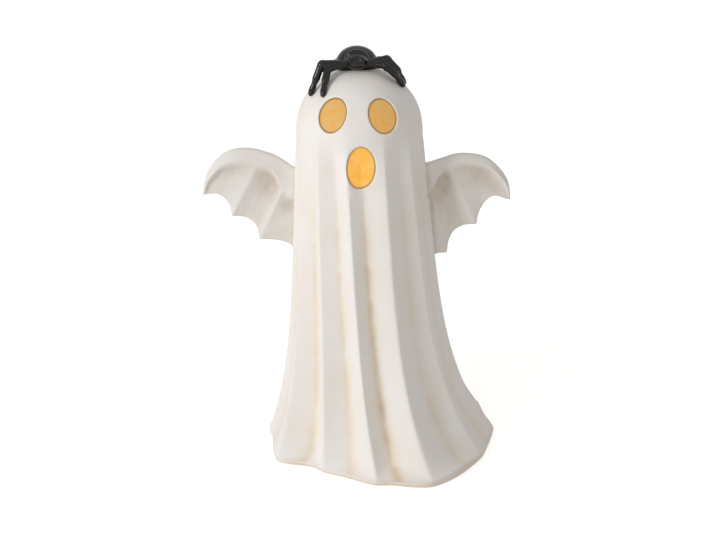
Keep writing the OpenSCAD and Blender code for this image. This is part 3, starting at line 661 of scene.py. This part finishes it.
def make_wing(name, node, form):
    """A wing as rings round its section, one for each place from its root to its tip.

    A section runs from the leading edge to the scalloped edge and has the same rows in front as
    behind. The first panel is stretched so that its root lies in the body's wall, and a fillet
    thickens it there. Its hand marks are smaller and deeper than the sheet's, and move both faces
    forwards.
    """
    side, (y, z) = form["side"], form["at"]
    panel, u, step, lead, trail, tip = wing_plan(form)
    rows, halves, wash_and_shade = wing_section(panel, u, step, np.linalg.norm(trail - lead, axis=1), form)
    flat = lead + (trail - lead) * rows[..., None]
    front = np.stack([side * flat[..., 0], y - halves, flat[..., 1] + z], axis=-1)
    front[..., 0] += HEAD_X + side * (HEAD_R + WALL / 2)
    back = front.copy()
    back[..., 1] = y + halves
    loop = np.concatenate([front, back[-2:0:-1]])

    inner = loop[:, panel == 0]
    stop = loop[:, np.argmax(panel == 1), 0]
    root = body_side(inner[:, 0, 1], inner[:, 0, 2], side, -ROOT_DEPTH)
    stretch = (stop - root) / (stop - inner[:, 0, 0])
    loop[:, panel == 0, 0] = root[:, None] + (inner[..., 0] - inner[:, :1, 0]) * stretch[:, None]
    body_x = body_side(loop[..., 1].ravel(), loop[..., 2].ravel(), side, 0).reshape(loop.shape[:2])
    clear = side * (loop[..., 0] - body_x)
    loop[..., 1] += np.sign(loop[..., 1] - y) * FILLET * np.clip(1 - clear / FILLET_WIDTH, 0, 1.3) ** 2

    ring_size, places = loop.shape[:2]
    points = loop.transpose(1, 0, 2).reshape(-1, 3)
    points[:, 1] += hand_marks(points * 1.6) * 1.5
    number = np.arange(places * ring_size).reshape(places, ring_size)
    faces = bands(number)
    faces += [[a, b, len(points)] for a, b in zip(number[-1], np.roll(number[-1], -1))]
    faces.append(number[0][::-1].tolist())
    points = np.vstack([points, [HEAD_X + side * (HEAD_R + WALL / 2 + tip[0]), y, z + tip[1]]])
    if side > 0:
        faces = [f[::-1] for f in faces]
    wing = mesh_piece(name, node, points, faces)
    # Wash and painted shade from the sections, and wash at the root
    wash_and_shade = np.concatenate([wash_and_shade, wash_and_shade[-2:0:-1]]).T.ravel()
    at_root = np.exp(-(np.maximum(clear.T.ravel(), 0) / 4) ** 2)
    set_wash_and_shade(wing, np.append(wash_and_shade + ROOT_WASH * at_root, 0))
    return wing


def body_side(y, z, side, off):
    """The x at which the sheet's side face lies for a y and a z, found by walking the angle round."""
    t = np.clip((HEAD_Z - z) / DRAPE_H, 0, 1)
    angle = np.full(len(y), 90.0 * side)
    for _ in range(8):
        r = sheet_radius(angle, z, off)
        x = side * np.sqrt(np.maximum(r**2 - y**2, 1))
        angle = np.degrees(np.arctan2(x, -y))
    return centre_x(t) + x


# The floor slab, which carries the battery box

def slab_outline(per_fold):
    """The hem's outline drawn in by the slab's inset, where part of each valley is filled."""
    share = np.tile(np.arange(per_fold) / per_fold, FOLDS)
    fold = np.repeat(np.arange(FOLDS), per_fold)
    crests = crest_angles(np.array([1.0]))[:, 0]
    angle = mix(crests[fold], crests[fold + 1], share)
    one = np.ones(len(fold))
    reach, valley = fold_shape(fold, share, one)
    r = crest_radius(1.0) * reach * (1 - valley) - SLAB_INSET
    return around(centre_x(1.0), r, angle, 0 * angle)[:, :2]


def round_oblong(low, high, r, steps=8):
    """A rectangle with round corners, as one closed ring."""
    low, high = np.asarray(low), np.asarray(high)
    middle, half = (low + high) / 2, (high - low) / 2 - r
    ring = []
    for quarter, (sx, sy) in enumerate([(1, 1), (-1, 1), (-1, -1), (1, -1)]):
        a = np.radians(90 * quarter + np.linspace(0, 90, steps + 1))
        ring.append(np.stack([sx * half[0] + r * np.cos(a), sy * half[1] + r * np.sin(a)], 1))
    return middle + np.concatenate(ring)


def make_slab():
    """The slab: a thin floor with rounded edges, a window for the box and a step for its rim.

    Rings climb the rounded edge and then the step and the window, and two faces join them.
    """
    rim_low, rim_high = [np.array(c[:2]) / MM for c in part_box("battery_box")]
    rim = round_oblong(rim_low - SEAT_GAP, rim_high + SEAT_GAP, RIM_CORNER + SEAT_GAP)
    draw_in = BOX_RIM - SEAT_GAP
    hole = round_oblong(rim_low + draw_in, rim_high - draw_in, BOX_CORNER + SEAT_GAP)
    outline = slab_outline(24)
    middle = np.array([centre_x(1.0), 0])
    inward = middle - outline
    inward /= np.linalg.norm(inward, axis=1)[:, None]
    top, low = HEM_Z, PAD_T
    profile = [(1.0, low), (0.35, low + 0.3), (0.0, low + 0.9), (-0.1, top - 1.6),
               (0.1, top - 0.6), (0.5, top - 0.15), (1.2, top)]
    levels = [(outline + step_in * inward, level) for step_in, level in profile]
    levels += [(rim, low), (rim, low + DOOR_T), (hole, low + DOOR_T), (hole, top)]
    points = np.vstack([np.column_stack([ring, np.full(len(ring), level)]) for ring, level in levels])
    numbers = np.split(np.arange(len(points)), np.cumsum([len(ring) for ring, _ in levels])[:-1])
    edge = len(profile)
    faces = bands(numbers[:edge]) + bands(numbers[edge:], turned=True)
    flat = points[:, :2].tolist()
    faces += [f[::-1] for f in fill_between(flat, numbers[0], numbers[edge])]
    faces += fill_between(flat, numbers[edge - 1], numbers[-1])
    slab = mesh_piece("floor_slab", "base_slab", points, faces)
    slab.data.set_sharp_from_angle(angle=SHARP_ANGLE)

    # The foot is darker and tanner along its lower edge, lighter above it, and evenly tinted round the
    # window
    from_middle = np.hypot(points[:, 0] - middle[0], points[:, 1])
    at_edge = mix(0.75, 0.12, ease((points[:, 2] - low - 1) / 2.6))
    set_wash_and_shade(slab, mix(0.25, at_edge, ease((from_middle - 60) / 10)))
    return slab


# The spider

ABDOMEN_R = 19.0
THORAX_R = 9.5
ABDOMEN_Y = 0.63 * ABDOMEN_R
ABDOMEN_AT = np.array([HEAD_X - THORAX_R / 4, ABDOMEN_Y, HEAD_Z + math.sqrt(HEAD_R**2 - ABDOMEN_Y**2)])
THORAX_AT = np.array([HEAD_X - THORAX_R / 4, -THORAX_R / 4, HEAD_Z + HEAD_R + THORAX_R])
# Each leg's knee, shin and toe: turn from straight ahead and fall from the head's top, in
# degrees, and rise over the head in millimetres
LEGS = [
    [(-79.1, 27.8, 16), (-75.8, 36.7, 8.5), (-75.0, 51.2, 1.0)],
    [(-73.3, 25.5, 10.5), (-62.8, 32.4, 5.5), (-51.3, 45.4, 1.0)],
    [(-138, 24, 7), (-140, 34, 6), (-142, 45, 1.2)],
    [(-158, 24, 7), (-162, 34, 6), (-165, 45, 1.2)],
    [(86, 19.8, 14.8), (82.5, 30.2, 10), (87.5, 43.0, 2.0)],
    [(74, 20.6, 10.5), (74, 29.9, 8), (84.0, 43.4, 1.0)],
    [(138, 24, 7), (140, 34, 6), (142, 45, 1.2)],
    [(158, 24, 7), (162, 34, 6), (165, 45, 1.2)],
]
# A leg's radius at places along it, counted in stretches: hip to knee, knee to shin, shin to toe
LEG_PLACES = [0, 0.5, 0.85, 1.0, 1.2, 1.55, 2.0, 2.3, 2.6, 2.8, 2.93, 3.0]
LEG_RADII = [2.6, 3.4, 3.6, 4.3, 3.6, 3.5, 3.7, 2.6, 3.1, 2.9, 2.2, 1.0]
LEG_POINTS = 61
LEG_SIDES = 20
LEG_ROUNDING = 5
# The hips lie on an oval round the thorax, a little below its middle
HIP_WIDE, HIP_DEEP, HIP_DROP = 8.5, 5.5, 2.4
# Balls of the casting, with their half sizes: abdomen, thorax, brow and two bead eyes
BEAD_R = 3.1
BALLS = [
    (ABDOMEN_AT + [0, 0, 3.4], [ABDOMEN_R, 14.5, 15.6]),
    (THORAX_AT + [0, -0.5, -1.2], [10.2, 9.5, 7.6]),
    (THORAX_AT + [0, 3.2, 0.4], [11.4, 5.0, 9.1]),
    (THORAX_AT + [-6.6, -7.0, 2.6], [BEAD_R] * 3),
    (THORAX_AT + [4.8, -7.0, 2.6], [BEAD_R] * 3),
]
# The grain at which the casting is fused, how often it is softened, and how deep it is seated
FUSE_GRAIN = 0.45
SOFTENINGS = 4
SEAT_DEPTH = 0.6


def ball(middle, radii):
    """A stretched ball as points and faces, with its poles at top and bottom.

    It has twice as many rows and columns where it is larger than a bead.
    """
    rows, columns = (40, 64) if max(radii) > BEAD_R else (20, 32)
    fall = np.linspace(0, np.pi, rows + 1)[1:-1]
    turn = np.linspace(0, 2 * np.pi, columns, endpoint=False)
    f, a = np.meshgrid(fall, turn, indexing="ij")
    p = np.stack([np.sin(f) * np.cos(a), np.sin(f) * np.sin(a), np.cos(f)], -1).reshape(-1, 3)
    p = np.vstack([p, [0, 0, 1], [0, 0, -1]]) * radii + middle
    number = np.arange(len(fall) * columns).reshape(len(fall), columns)
    top, low = len(p) - 2, len(p) - 1
    faces = bands(number, turned=True)
    faces += [[a, b, top] for a, b in zip(number[0], np.roll(number[0], -1))]
    faces += [[b, a, low] for a, b in zip(number[-1], np.roll(number[-1], -1))]
    return p, faces


def on_head(turn, fall, rise):
    """A point above the head at a turn from straight ahead and a fall from its top."""
    a, f = math.radians(turn), math.radians(fall)
    out = np.array([math.sin(f) * math.sin(a), -math.sin(f) * math.cos(a), math.cos(f)])
    return np.array([HEAD_X, 0, HEAD_Z]) + (HEAD_R + rise) * out


def tube(path, radii, sides):
    """A round tube along a path: rings square to it, carried along without twist, closed ends."""
    tangent = np.gradient(path, axis=0)
    tangent /= np.linalg.norm(tangent, axis=1)[:, None]
    across = np.array([0.0, 0.0, 1.0])
    turn = np.linspace(0, 2 * np.pi, sides, endpoint=False)
    rings = []
    for q, t, r in zip(path, tangent, radii):
        across = across - (across @ t) * t
        across /= np.linalg.norm(across)
        other = np.cross(t, across)
        rings.append(q + r * (np.outer(np.cos(turn), across) + np.outer(np.sin(turn), other)))
    number = np.arange(len(path) * sides).reshape(len(path), sides)
    return np.vstack(rings), [*bands(number), number[0][::-1].tolist(), number[-1].tolist()]


def leg(knee, shin, toe):
    """A leg as a tube from its hip over three bends, whose path is smoothed."""
    a = math.radians(knee[0])
    hip = THORAX_AT + [HIP_WIDE * math.sin(a), -HIP_DEEP * math.cos(a), -HIP_DROP]
    bends = np.array([hip, on_head(*knee), on_head(*shin), on_head(*toe)])
    places = np.linspace(0, 3, LEG_POINTS)
    path = np.stack([np.interp(places, range(4), axis) for axis in bends.T], axis=1)
    return tube(smoothed(path, LEG_ROUNDING), np.interp(places, LEG_PLACES, LEG_RADII), LEG_SIDES)


def make_spider():
    """Body, head, bead eyes and legs, fused into one casting with soft inner corners.

    What lies deeper in the head than its seat is drawn out along the head's radius.
    """
    points, faces, count = [], [], 0
    for p, f in [ball(*spec) for spec in BALLS] + [leg(*bends) for bends in LEGS]:
        points.append(p)
        faces += [[i + count for i in face] for face in f]
        count += len(p)
    spider = mesh_piece("spider_casting", "spider", np.vstack(points), faces)
    fuse = spider.modifiers.new("fuse", "REMESH")
    fuse.mode = "VOXEL"
    fuse.voxel_size = FUSE_GRAIN * MM
    soften = spider.modifiers.new("soften", "SMOOTH")
    soften.factor = 0.5
    soften.iterations = SOFTENINGS
    fused = spider.evaluated_get(bpy.context.evaluated_depsgraph_get())
    mesh = bpy.data.meshes.new_from_object(fused)
    spider.modifiers.clear()
    spider.data = mesh
    p = np.empty(len(mesh.vertices) * 3)
    mesh.vertices.foreach_get("co", p)
    p = p.reshape(-1, 3) / MM
    away = p - [HEAD_X, 0, HEAD_Z]
    r = np.linalg.norm(away, axis=1)
    seat_r = HEAD_R - SEAT_DEPTH
    sunk = r < seat_r
    p[sunk] = [HEAD_X, 0, HEAD_Z] + away[sunk] / r[sunk, None] * seat_r
    mesh.vertices.foreach_set("co", (p * MM).ravel())
    mesh.shade_smooth()
    mesh.update()
    return spider


# Materials. Patterns read Object coordinates in metres, so their scales come from real sizes.

# The output that a node is added for, where it isn't the first
OUTPUTS = {"Mix": 2, "Attribute": "Fac", "TexCoord": "Object", "TexChecker": "Fac"}


def linear(code):
    """An sRGB hex colour as linear red, green, blue and a full alpha."""
    parts = [int(code[i:i + 2], 16) / 255 for i in (1, 3, 5)]
    return [c / 12.92 if c <= 0.04045 else ((c + 0.055) / 1.055) ** 2.4 for c in parts] + [1.0]


def plug(node, **values):
    """Sets a node's properties and sockets, and links a socket where its value is one itself.

    A socket is called by its name, with _ for each space, or by in and its number.
    """
    for name, value in values.items():
        if hasattr(node, name):
            setattr(node, name, value)
            continue
        socket = node.inputs[int(name[2:]) if name[:2] == "in" else name.replace("_", " ")]
        if isinstance(value, bpy.types.NodeSocket):
            node.id_data.links.new(value, socket)
        else:
            socket.default_value = value


def add_node(tree, kind, output=None, **values):
    """Adds a node with its settings and links, and gives the output that it is added for."""
    new = tree.nodes.new("ShaderNode" + kind)
    plug(new, **values)
    return new.outputs[OUTPUTS.get(kind, 0) if output is None else output]


def new_material(name, **values):
    """A material, its one Principled shader, and add_node for its tree."""
    material = bpy.data.materials.new(name)
    material.use_nodes = True
    tree = material.node_tree
    shader = tree.nodes["Principled BSDF"]
    plug(shader, **values)
    return material, shader, partial(add_node, tree)


def waves_per_metre(size_mm):
    """The noise scale at which one blotch is about size_mm wide."""
    return 1 / (size_mm * MM)


def blotches(node, size_mm, detail, low, high, rough=0.55):
    """Soft blotches of a real size: a noise, of which low to high becomes 0 to 1."""
    scale = waves_per_metre(size_mm)
    noise = node("TexNoise", Vector=node("TexCoord"), Scale=scale, Detail=detail, Roughness=rough)
    return node("MapRange", in0=noise, in1=low, in2=high)


def layered(node, colour, *layers):
    """A colour with others laid over it in turn, each by the product of its shares."""
    colour = linear(colour) if isinstance(colour, str) else colour
    for over, share, *shares in layers:
        for factor in shares:
            share = node("Math", operation="MULTIPLY", in0=share, in1=factor)
        colour = node("Mix", data_type="RGBA", in0=share, in6=colour, in7=linear(over))
    return colour


def grained(node, shader, size_mm, detail, depth_mm, strength):
    """Raises the shader's surface by a noise of a real size, to a real depth."""
    scale = waves_per_metre(size_mm)
    noise = node("TexNoise", Vector=node("TexCoord"), Scale=scale, Detail=detail, Roughness=0.55)
    plug(shader, Normal=node("Bump", Height=noise, Distance=depth_mm * MM, Strength=strength))


def matte_bisque(name, clean, tint, tan, wash_and_shade_bias):
    """Low-fired white clay under a dead matte glaze, wiped with a tan wash and painted shade.

    Where the attribute is high, in hollows, the tan wash and painted shade gather and break up into
    blotches. The eye sees soft white with cream and tan in the hollows, partly painted shadow, no gloss,
    and a faint tooth in raking light.
    """
    material, shader, node = new_material(name, Roughness=0.68, IOR=1.5, Specular_IOR_Level=0.32)
    broad = blotches(node, 45, 2, 0.36, 0.66)
    patchy = blotches(node, 20, 3, 0.36, 0.72)
    # The attribute carries tan wash and painted shade; the bias adds the same darkening all over
    wash_and_shade = node("Math", operation="ADD", use_clamp=True,
                in0=node("Attribute", attribute_name="wash_and_shade"), in1=wash_and_shade_bias)
    spread = node("MapRange", in0=broad, in1=-1.2, in2=1.0)
    plug(shader, Base_Color=layered(node, clean, (tint, broad, 0.22), (tint, wash_and_shade, spread),
                                    (tan, wash_and_shade, patchy, wash_and_shade, 0.5)))

    # The clay's real tooth is finer. It is drawn 0.7 mm wide, so that it shows, over 5 mm swells.
    fine, swell = [node("TexNoise", Vector=node("TexCoord"), Scale=waves_per_metre(size_mm),
                        Detail=detail, Roughness=0.55) for size_mm, detail in ((0.7, 2), (5, 3))]
    tooth = node("Math", operation="MULTIPLY_ADD", in0=swell, in1=1.5, in2=fine)
    plug(shader, Normal=node("Bump", Height=tooth, Distance=0.12 * MM, Strength=0.5))
    return material


def black_glaze():
    """Black gloss glaze over clay: deep, wet highlights, pooled a little uneven, soft brown sheen."""
    material, shader, node = new_material("black_gloss_glaze", IOR=1.45, Specular_IOR_Level=0.42)
    pooled = blotches(node, 6, 3, 0.4, 0.7)
    uneven = blotches(node, 2.5, 3, 0.3, 0.8)
    plug(shader, Base_Color=layered(node, "#060506", ("#0F0D0B", pooled)),
         Roughness=node("MapRange", in0=uneven, in3=0.05, in4=0.14))
    grained(node, shader, 3.5, 2, 0.12, 0.6)
    return material


def amber_pane(name, glow, warm, pale):
    """A cast resin pane that glows by its own emission, painted light for the lamp behind it: amber, with
    cloudy blotches and painted shade at its rim.

    The attribute holds the painted shade at the rim. Without its glow the resin is half as bright and
    browner.
    """
    # Emission_Strength paints glow: the pane shines on its own, painted light for the lamp inside
    material, shader, node = new_material(
        name, Roughness=0.55, IOR=1.49, Specular_IOR_Level=0.25, Emission_Strength=glow)
    cloud = blotches(node, 8, 4, 0.38, 0.64, 0.6)
    vein = blotches(node, 3.4, 4, 0.5, 0.72, 0.65)
    # Painted shade at the rim: a dull brown darkens both colour and glow where the gap lies in shadow
    rim_shade = node("Attribute", attribute_name="wash_and_shade")
    colour = layered(node, warm, (pale, cloud), ("#EFA05C", vein, 0.5), ("#857358", rim_shade, 0.75))
    plug(shader, Base_Color=layered(node, colour, ("#3A2410", 0.5)), Emission_Color=colour)
    grained(node, shader, 4, 3, 0.15, 0.5)
    return material


def moulded_plastic(name, colour, worn, roughness, grain_mm, depth_mm):
    """A moulded polymer: an even colour that is a little greyer in patches, and a fine grain."""
    material, shader, node = new_material(name, Roughness=roughness, IOR=1.5)
    plug(shader, Base_Color=layered(node, colour, (worn, blotches(node, 14, 3, 0.4, 0.75))))
    grained(node, shader, grain_mm, 2, depth_mm, 0.8)
    return material


def plated_metal(name, colour, dull, roughness, grain_mm):
    """Rolled or drawn metal with a thin plating: a fine grain, and slightly dull clouds."""
    material, shader, node = new_material(name, Roughness=roughness, Metallic=1.0)
    plug(shader, Base_Color=layered(node, colour, (dull, blotches(node, 5, 3, 0.35, 0.75))))
    grained(node, shader, grain_mm, 2, 0.03, 0.6)
    return material


# Lengths along a cell in millimetres
CELL_LENGTH = 44.5
COPPER_BAND = 17.0
STEEL_END = 1.2


def cell_sleeve():
    """A cell in its shrunk film sleeve: slate, a copper band at the tip end, steel at both ends.

    The middle cell lies the other way round, with its tip at the low end.
    """
    material, shader, node = new_material("cell_film_sleeve", Roughness=0.28, IOR=1.5)
    low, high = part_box("battery_cells")
    x, y = [node("SeparateXYZ", axis, Vector=node("TexCoord")) for axis in "XY"]
    middle = node("Math", operation="COMPARE", in0=y, in1=0.0, in2=(high.y - low.y) / 6)
    from_low = node("Math", operation="SUBTRACT", in0=x, in1=low.x)
    from_high = node("Math", operation="SUBTRACT", in0=high.x, in1=x)
    from_tip = node("MapRange", in0=middle, in3=from_high, in4=from_low)
    from_base = node("Math", operation="SUBTRACT", in0=CELL_LENGTH * MM, in1=from_tip)
    from_end = node("Math", operation="MINIMUM", in0=from_tip, in1=from_base)
    steel = node("Math", operation="LESS_THAN", in0=from_end, in1=STEEL_END * MM)
    copper = node("Math", operation="LESS_THAN", in0=from_tip, in1=COPPER_BAND * MM)
    faded = blotches(node, 8, 3, 0.4, 0.8)
    plug(shader, Metallic=node("Math", operation="MULTIPLY", in0=steel, in1=0.9), Base_Color=layered(
        node, "#27323C", ("#303C46", faded), ("#A8683A", copper), ("#B8B6B0", steel)))
    grained(node, shader, 2, 2, 0.03, 0.5)
    return material


def board_laminate():
    """Glass laminate under green solder mask: the weave shows faintly as a 0.8 mm grid."""
    material, shader, node = new_material("glass_laminate_board", Roughness=0.34, IOR=1.55)
    weave = node("TexChecker", Vector=node("TexCoord"), Scale=waves_per_metre(0.8))
    cloud = blotches(node, 6, 3, 0.4, 0.7)
    plug(shader, Base_Color=layered(node, "#1C5A37", ("#236643", cloud), ("#3B7F56", weave, 0.25)),
         Normal=node("Bump", Height=weave, Distance=0.02 * MM, Strength=0.5))
    return material


def clear_epoxy():
    """A lamp's cast epoxy: warm, clear at the rim and cloudy where its glow gathers."""
    material, shader, node = new_material(
        "lamp_epoxy", Roughness=0.12, IOR=1.53, Transmission_Weight=0.5, Emission_Strength=1.5)
    colour = layered(node, "#FFE2A8", ("#FFC978", blotches(node, 2.4, 3, 0.35, 0.7)))
    plug(shader, Base_Color=colour, Emission_Color=colour)
    return material


def dress(piece, material):
    """Gives a piece its only material."""
    piece.data.materials.clear()
    piece.data.materials.append(material)


# Stage, lamps and camera

# The floor's half width in metres and its lift, the world's light on the object, and the point in
# metres that the lamps face
FLOOR_HALF = 6.0
FLOOR_LIFT = 0.6
WORLD_FILL = 0.46
WORLD_TINT = (1.0, 0.97, 0.94, 1)
WHITE = (1, 1, 1, 1)
LAMP_AIM = (0, 0, 0.2)
# The camera fitted to the photograph: its lens and sensor in millimetres, its place in metres, and
# how far it looks down and aside in degrees
LENS = 89.45
SENSOR = 36
CAMERA_AT = (HEAD_X * MM, -1.5279, 0.9452)
LOOK_DOWN = 26.709
LOOK_ASIDE = 0.05


def seen_share(tree):
    """One where the eye meets a surface, straight or by way of a shiny or clear piece, else zero."""
    share = 0.0
    for ray in ("Camera", "Glossy", "Transmission"):
        meets = add_node(tree, "LightPath", f"Is {ray} Ray")
        share = add_node(tree, "Math", operation="MAXIMUM", in0=share, in1=meets)
    return share


def make_floor():
    """A pale floor that takes the object's shadow. To the camera it is lifted to near white."""
    mesh = bpy.data.meshes.new("floor")
    corners = [(x * FLOOR_HALF, y * FLOOR_HALF, 0) for x, y in [(-1, -1), (1, -1), (1, 1), (-1, 1)]]
    mesh.from_pydata(corners, [], [(0, 1, 2, 3)])
    add_object("floor", mesh)
    material, shader, node = new_material(
        "pale_floor", Roughness=1.0, Base_Color=linear("#F4F3F1"), Specular_IOR_Level=0.0,
        Emission_Color=WHITE)
    lift = node("Math", operation="MULTIPLY", in0=seen_share(material.node_tree), in1=FLOOR_LIFT)
    plug(shader, Emission_Strength=lift)
    mesh.materials.append(material)


def make_world():
    """An even white room: its light on the object is soft, and to the camera it is white."""
    world = bpy.data.worlds.new("white_room")
    bpy.context.scene.world = world
    world.use_nodes = True
    tree = world.node_tree
    seen = seen_share(tree)
    plug(tree.nodes["Background"],
         Strength=add_node(tree, "MapRange", in0=seen, in3=WORLD_FILL, in4=1.0),
         Color=add_node(tree, "Mix", data_type="RGBA", in0=seen, in6=WORLD_TINT, in7=WHITE))


def add_lamp(name, place, size, power, colour):
    """A square soft light at a place in metres, turned to face the figure's middle."""
    light = bpy.data.lights.new(name, "AREA")
    light.size = size
    light.energy = power
    light.color = colour
    lamp = add_object(name, light)
    lamp.location = place
    x, y, z = np.array(LAMP_AIM) - np.array(place)
    lamp.rotation_euler = (math.atan2(math.hypot(x, y), -z), 0, math.atan2(-x, y))


def make_camera():
    """The photograph's view: from the front, 1.7 m away and 27 degrees up."""
    data = bpy.data.cameras.new("camera")
    data.lens = LENS
    data.sensor_width = SENSOR
    camera = add_object("camera", data)
    camera.location = CAMERA_AT
    camera.rotation_euler = (math.radians(90 - LOOK_DOWN), 0, math.radians(LOOK_ASIDE))
    bpy.context.scene.camera = camera


bpy.context.scene.view_settings.view_transform = "Standard"
make_camera()
make_world()
make_floor()
add_lamp("key_light", (-2.13, -1.49, 1.3), 0.9, 30.5, (1.0, 1.0, 1.0))
add_lamp("front_fill", (-0.7, -2.5, 1.5), 0.3, 3.5, (1.0, 0.985, 0.97))

BISQUE = matte_bisque("matte_bisque", "#F8F5F3", "#F4E6D0", "#C6AA84", 0.0)
# The wings' copy of the bisque is greyer, with more wash all over: painted shade for the dimmer light the
# wings get
SHADED_WING_BISQUE = matte_bisque("washed_and_shaded_bisque_wings", "#EFEDEA", "#E0D6CA", "#9C8770", 0.1)
FOOT_BISQUE = matte_bisque("washed_bisque_foot", "#F6F0EA", "#F0DFC6", "#C6A47A", 0.05)
# The eyes' copy glows dimmer and the mouth's brighter: painted light, as if the lamp inside sat nearer
# the mouth
EYE_RESIN = amber_pane("amber_resin_eyes", 0.42, "#F5B75A", "#E9C27C")
MOUTH_RESIN = amber_pane("amber_resin_mouth", 0.6, "#FFBA4C", "#FFC668")

dress(make_shell(), BISQUE)
dress(make_wing("left_bat_wing", "left_wing", LEFT_WING), SHADED_WING_BISQUE)
dress(make_wing("right_bat_wing", "right_wing", RIGHT_WING), SHADED_WING_BISQUE)
dress(make_slab(), FOOT_BISQUE)
dress(make_spider(), black_glaze())
dress(make_pane("left_eye_plug", "left_eye_pane", LEFT_EYE), EYE_RESIN)
dress(make_pane("right_eye_plug", "right_eye_pane", RIGHT_EYE), EYE_RESIN)
dress(make_pane("mouth_plug", "mouth_pane", MOUTH), MOUTH_RESIN)

# The pieces under the slab and in the body keep the frame's shapes
FINISHES = {
    "foot_pads": moulded_plastic("foot_rubber", "#3B3A3A", "#4A4847", 0.85, 0.9, 0.06),
    "battery_box": moulded_plastic("moulded_abs", "#1D1D1F", "#29292B", 0.48, 0.5, 0.03),
    "battery_door": moulded_plastic("door_abs", "#202022", "#2C2C2E", 0.46, 0.5, 0.04),
    "battery_cells": cell_sleeve(),
    "contact_springs": plated_metal("spring_wire", "#C9C6C0", "#A9A6A0", 0.24, 0.25),
    "contact_plates": plated_metal("nickel_plate", "#CFC9BE", "#B5AFA4", 0.27, 0.35),
    "switch_body": moulded_plastic("switch_nylon", "#3A3A3D", "#454548", 0.5, 0.4, 0.02),
    "switch_knob": moulded_plastic("knob_abs", "#121213", "#2A2A2C", 0.4, 0.4, 0.02),
    "led_board": board_laminate(),
    "led_lamps": clear_epoxy(),
    "red_lead": moulded_plastic("red_pvc", "#A3161A", "#8A1215", 0.36, 1.5, 0.02),
    "black_lead": moulded_plastic("black_pvc", "#151516", "#1F1F21", 0.36, 1.5, 0.02),
    "board_screws": plated_metal("zinc_plate", "#C6C7C4", "#A8ABA9", 0.32, 0.3),
}
for name, finish in FINISHES.items():
    dress(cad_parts[name], finish)
